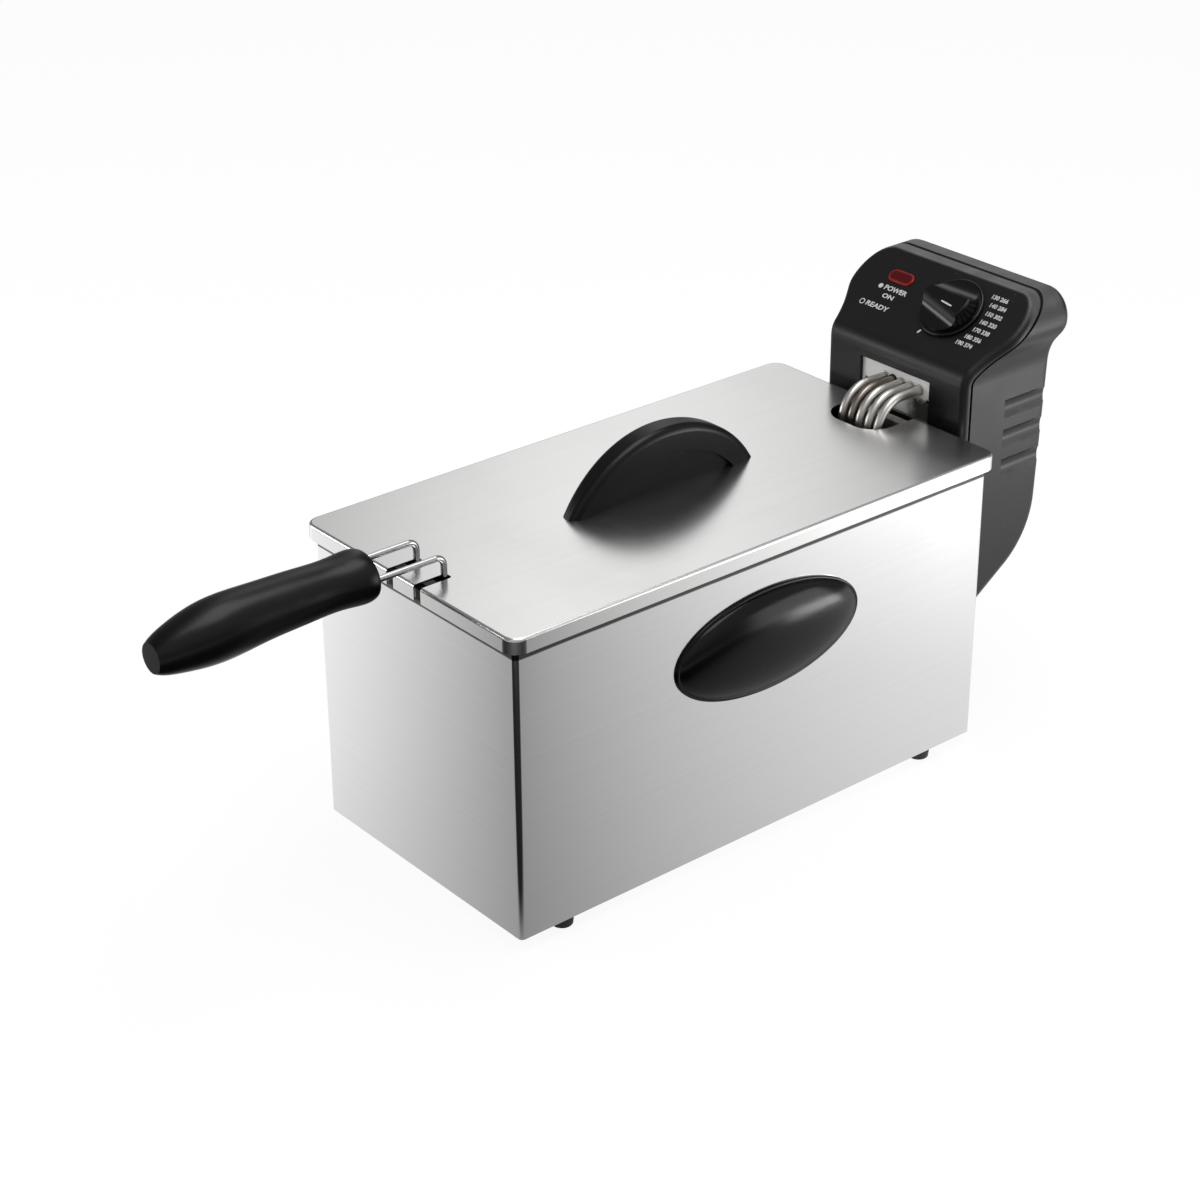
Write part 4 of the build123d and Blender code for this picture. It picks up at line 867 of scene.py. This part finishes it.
# Two numbers on each row of the dial: Celsius inside and Fahrenheit outside, level with it.
def dialParts():
    parts = []
    turns = np.radians(np.linspace(dial["firstTurn"], dial["lastTurn"], len(dial["celsius"])))
    for value, turn in zip(dial["celsius"], turns):
        up = dial["numberRadius"] * math.cos(turn)
        outer = dial["numberRadius"] * math.sin(turn)
        inner = outer - dial["numberRadius"] + dial["innerRadius"]
        fahrenheit = round(value * 1.8 + 32)
        parts.append((letterMesh(str(value), dial["size"]), panelMatrix(up, inner)))
        parts.append((letterMesh(str(fahrenheit), dial["size"]), panelMatrix(up, outer)))
    turn, radius = math.radians(dial["tickTurn"]), dial["tickRadius"]
    tickPlace = panelMatrix(radius * math.cos(turn), radius * math.sin(turn)) @ clockTurn(turn)
    return parts + [(pillMesh(*dial["tickSize"]), tickPlace)]


# Rows of words below the lamp, each fitted to its width, with a dot or ring before some.
def lampParts():
    parts = []
    middle, radius = lensFace() - knobCentre, lampMarks["markRadius"]
    for drop, shift, shape, word, size, width in lampMarks["rows"]:
        letters = letterMesh(word, size)
        up, right = middle.dot(panelUp) - drop, middle.dot(panelRight) + shift
        lead = 2 * radius + lampMarks["gap"] if shape else 0.0
        letterWidth = meshPoints(letters)[:, 0].max() * 2
        letters.transform(Matrix.Diagonal(((width - lead) / letterWidth, 1.0, 1.0, 1.0)))
        parts.append((letters, panelMatrix(up, right + lead / 2)))
        markPlace = panelMatrix(up, right - width / 2 + radius)
        if shape == "dot":
            parts.append((pillMesh(radius, radius, power=1.0), markPlace))
        elif shape == "ring":
            parts.append((ringMesh(radius), markPlace))
    return parts


# A line on top of the knob, beside its middle.
def pointerParts():
    knobPoints = meshPoints(nodes["thermostat_knob"].data) - np.array(knobCentre)
    height = float((knobPoints @ np.array(panelNormal)).max())
    place = panelMatrix(0.0, 0.0, height) @ clockTurn(math.radians(pointer["turn"]))
    place = place @ Matrix.Translation((pointer["length"] / 2, -pointer["aside"], 0.0))
    return [(pillMesh(pointer["length"] / 2, pointer["halfWidth"]), place)]


joinPrint("dialNumbers", dialParts(), "head")
joinPrint("lampMarks", lampParts(), "head")
joinPrint("knobPointer", pointerParts(), "knob")
print("dial printed")


# Studio
housingLow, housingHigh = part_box("housing_shell")
fryerMiddle = Vector(((housingLow.x + housingHigh.x) / 2, 0.0, 0.0))
mirrors = {"inner": 0.42}       # share of the studio seen after a second mirror
floorLook = {
    "half": 6.0,
    "colour": (0.80, 0.80, 0.80, 1.0),
    "shadowShare": 0.15,        # how much of the floor's own shading the camera sees
    "cameraWhite": 1.06,        # strength that the camera sees
    "axis": (0.771, 0.637),     # the mirrored floor's gradient grows along this direction
    "start": 0.21,
    "level": 0.26,
    "slope": 3.5,
    "slopeTurn": 1.2,           # and more steeply towards -X
    "turnReach": 0.3,
    "darkest": 0.02,
    "brightest": 1.08,
    "darkFrom": -0.262,         # it is black in front of the corner at -X and -Y
    "darkTo": -0.218,
    "lift": 0.14,
    "farFrom": -1.0,            # and grows pale again further out
    "farTo": -0.55,
    "farLevel": 0.60,
    "rearBlend": 0.08,          # behind the fryer it fades from near to far
    "rearReach": 0.75,
    "rearNear": 0.90,
    "rearFar": 0.42,
    "sideNear": 0.72,           # share of the floor's brightness close to the -Y side
    "sideRise": 1.9,            # and its rise for each metre away
    "sideStart": 0.1,
    "sideReach": 0.4,
}
roomLook = {
    "colour": (1.0, 1.0, 1.0, 1.0),
    "diffuse": 0.48,            # strength as an even light
    "base": 0.192,              # strength in mirrors, away from the window
    "windowRight": (0.7705, -0.6374),
    "windowMiddle": 0.010,
    "windowWidth": 0.126,
    "windowPeak": 0.8,
    "windowRise": 1.9,
    "windowLevel": 0.42,        # height where the window has its plain strength
    "windowTop": 0.6,
    "frontGlow": 0.40,          # the room's paler upper part in front of the fryer
    "frontBlend": -0.25,
    "frontTop": 0.6,
}


# One for the first mirror a ray meets, and less for a ray that has met two or more.
def innerShare(rays):
    return 1.0 - (rays["Glossy Depth"] > 1.5) * (1.0 - mirrors["inner"])


# How bright glossy metal sees each place of the floor: a slope along the gradient's axis, dark
# in front of the near corner, and a fall from near to far behind the fryer.
def mirroredFloor(place):
    look = floorLook
    x, y, _ = splitParts(place)
    x = x - fryerMiddle.x
    axisX, axisY = look["axis"]
    along = x * axisX + y * axisY
    across = (x * -axisY + y * axisX) / look["turnReach"]
    slope = larger(smaller(across, 1.0), -1.0) * look["slopeTurn"] + look["slope"]
    level = (along + look["start"]) * slope + look["level"]
    level = larger(smaller(level, look["brightest"]), look["darkest"])
    out = smaller(-y - look["sideStart"], look["sideReach"])
    beside = out * look["sideRise"] + look["sideNear"]
    level = level * ((beside - 1.0) * (out > 0.0) + 1.0)
    lift = fadeBetween(along, look["darkFrom"], look["darkTo"], 0.0, look["lift"])
    level = level * (1.0 - look["shadowShare"]) + lift
    level = larger(level, fadeBetween(along, look["farFrom"], look["farTo"], look["farLevel"], 0.0))
    halfLong, halfWide = (housingHigh.x - housingLow.x) / 2, (housingHigh.y - housingLow.y) / 2
    inside = smaller(x + halfLong, y + halfWide)
    away = larger(x - halfLong, y - halfWide)
    rearLevel = fadeBetween(away, 0.0, look["rearReach"], look["rearNear"], look["rearFar"])
    return level + (rearLevel - level) * fadeBetween(inside, 0.0, look["rearBlend"])


# The floor lights the fryer as a pale matt sheet. The camera sees it white but for a faint
# shadow, and glossy metal sees it as mirroredFloor gives it.
def makeFloor():
    half, white = floorLook["half"], floorLook["cameraWhite"]
    mesh = bpy.data.meshes.new("floor")
    corners = [(-half, -half, 0), (half, -half, 0), (half, half, 0), (-half, half, 0)]
    mesh.from_pydata(corners, [], [(0, 1, 2, 3)])
    floor = bpy.data.objects.new("floor", mesh)
    bpy.context.scene.collection.objects.link(floor)
    material = bpy.data.materials.new("studioFloor")
    material.use_nodes = True
    tree = material.node_tree
    tree.nodes.clear()
    rays = outputsOf(tree.nodes.new("ShaderNodeLightPath"))
    level = mirroredFloor(objectPlace(tree)) * innerShare(rays)
    glossyOnly = rays["Is Glossy Ray"] * (1.0 - rays["Is Camera Ray"])
    strength = (level - white) * glossyOnly + white
    clearView = larger(rays["Is Camera Ray"], rays["Is Transmission Ray"])
    share = larger(clearView * (1.0 - floorLook["shadowShare"]), glossyOnly)
    sheet = nodeValue(tree, "ShaderNodeBsdfDiffuse", {"Color": floorLook["colour"]})
    glow = nodeValue(tree, "ShaderNodeEmission", {"Strength": strength})
    mixed = nodeValue(tree, "ShaderNodeMixShader", {0: share, 1: sheet, 2: glow})
    addNode(tree, "ShaderNodeOutputMaterial", {"Surface": mixed})
    mesh.materials.append(material)


# The room: white to the camera, an even pale light, and for glossy rays a tall window behind
# the fryer, a bell curve across the view that grows upwards, over a dim base that is paler high
# up in front.
def makeRoom():
    look = roomLook
    world = bpy.data.worlds.new("room")
    bpy.context.scene.world = world
    world.use_nodes = True
    tree = world.node_tree
    tree.nodes.clear()
    x, y, z = splitParts(shaderValue(tree.nodes.new("ShaderNodeTexCoord").outputs["Generated"]))
    rightX, rightY = look["windowRight"]
    off = ((x * rightX + y * rightY) - look["windowMiddle"]) / look["windowWidth"]
    bell = mathNode(tree, "EXPONENT", -(off * off))
    growth = (smaller(z, look["windowTop"]) - look["windowLevel"]) * look["windowRise"] + 1.0
    window = (bell * growth) * ((y > 0.0) * look["windowPeak"])
    front = fadeBetween(y, look["frontBlend"], 0.0, 1.0, 0.0)
    front = front * fadeBetween(z, 0.0, look["frontTop"], 0.0, look["frontGlow"])
    rays = outputsOf(tree.nodes.new("ShaderNodeLightPath"))
    mirror = (window + (front + look["base"])) * innerShare(rays) * rays["Is Glossy Ray"]
    clear = larger(rays["Is Camera Ray"], rays["Is Transmission Ray"])
    even = (1.0 - larger(clear, rays["Is Glossy Ray"])) * look["diffuse"]
    sockets = {"Color": look["colour"], "Strength": larger(mirror, clear) + even}
    addNode(tree, "ShaderNodeOutputWorld", {"Surface": nodeValue(tree, "ShaderNodeBackground", sockets)})


# Softboxes: direction from the aim, distance, width, height and power of each.
softboxAim = Vector((0.05, 0.0, 0.18))      # from the middle of the housing's footprint
softboxes = {
    "leftStrip": dict(direction=(-0.69, 0.685, 0.212), distance=2.0, width=1.3, height=0.40, power=8.0),
    "overhead": dict(direction=(0.10, -0.10, 1.0), distance=1.9, width=1.6, height=1.0, power=16.0),
    "rightFront": dict(direction=(0.82, -0.966, 0.13), distance=1.27, width=0.7, height=0.56, power=3.0),
    "lowFront": dict(direction=(0.535, -0.540, -0.118), distance=0.769, width=0.30, height=0.11, power=0.85),
}


# Each box stands off from the aim along its direction and faces back to it.
def makeSoftboxes():
    for name, box in softboxes.items():
        lamp = bpy.data.lights.new(name, "AREA")
        lamp.shape = "RECTANGLE"
        lamp.size = box["width"]
        lamp.size_y = box["height"]
        lamp.energy = box["power"]
        holder = bpy.data.objects.new(name, lamp)
        direction = Vector(box["direction"]).normalized()
        holder.location = fryerMiddle + softboxAim + direction * box["distance"]
        holder.rotation_mode = "QUATERNION"
        holder.rotation_quaternion = direction.to_track_quat("Z", "Y")
        holder.visible_camera = False
        bpy.context.scene.collection.objects.link(holder)


makeFloor()
makeRoom()
makeSoftboxes()
print("studio ready:", len(softboxes), "softboxes")


# Camera
view = {
    "aim": (0.00371, 0.0642, 0.1094),       # from the middle of the housing's footprint
    "azimuth": -39.6,           # degrees round from -Y towards -X, looking at the aim
    "elevation": 27.32,
    "distance": 1.8071,
    "roll": -0.41,
    "lens": 80.96,
    "sensor": 36.0,
}


# The camera stands back from its aim, along the direction that azimuth and elevation give.
def makeCamera():
    azimuth, elevation = math.radians(view["azimuth"]), math.radians(view["elevation"])
    level = math.cos(elevation)
    back = Vector((math.sin(azimuth) * level, -math.cos(azimuth) * level, math.sin(elevation)))
    roll = Quaternion((0, 0, 1), math.radians(view["roll"]))
    lens = bpy.data.cameras.new("camera")
    lens.lens = view["lens"]
    lens.sensor_width = view["sensor"]
    camera = bpy.data.objects.new("camera", lens)
    camera.location = fryerMiddle + Vector(view["aim"]) + back * view["distance"]
    camera.rotation_mode = "QUATERNION"
    camera.rotation_quaternion = (-back).to_track_quat("-Z", "Y") @ roll
    bpy.context.scene.collection.objects.link(camera)
    bpy.context.scene.camera = camera
    bpy.context.scene.view_settings.view_transform = "Standard"
    print("camera at", [round(value, 4) for value in camera.location])


makeCamera()
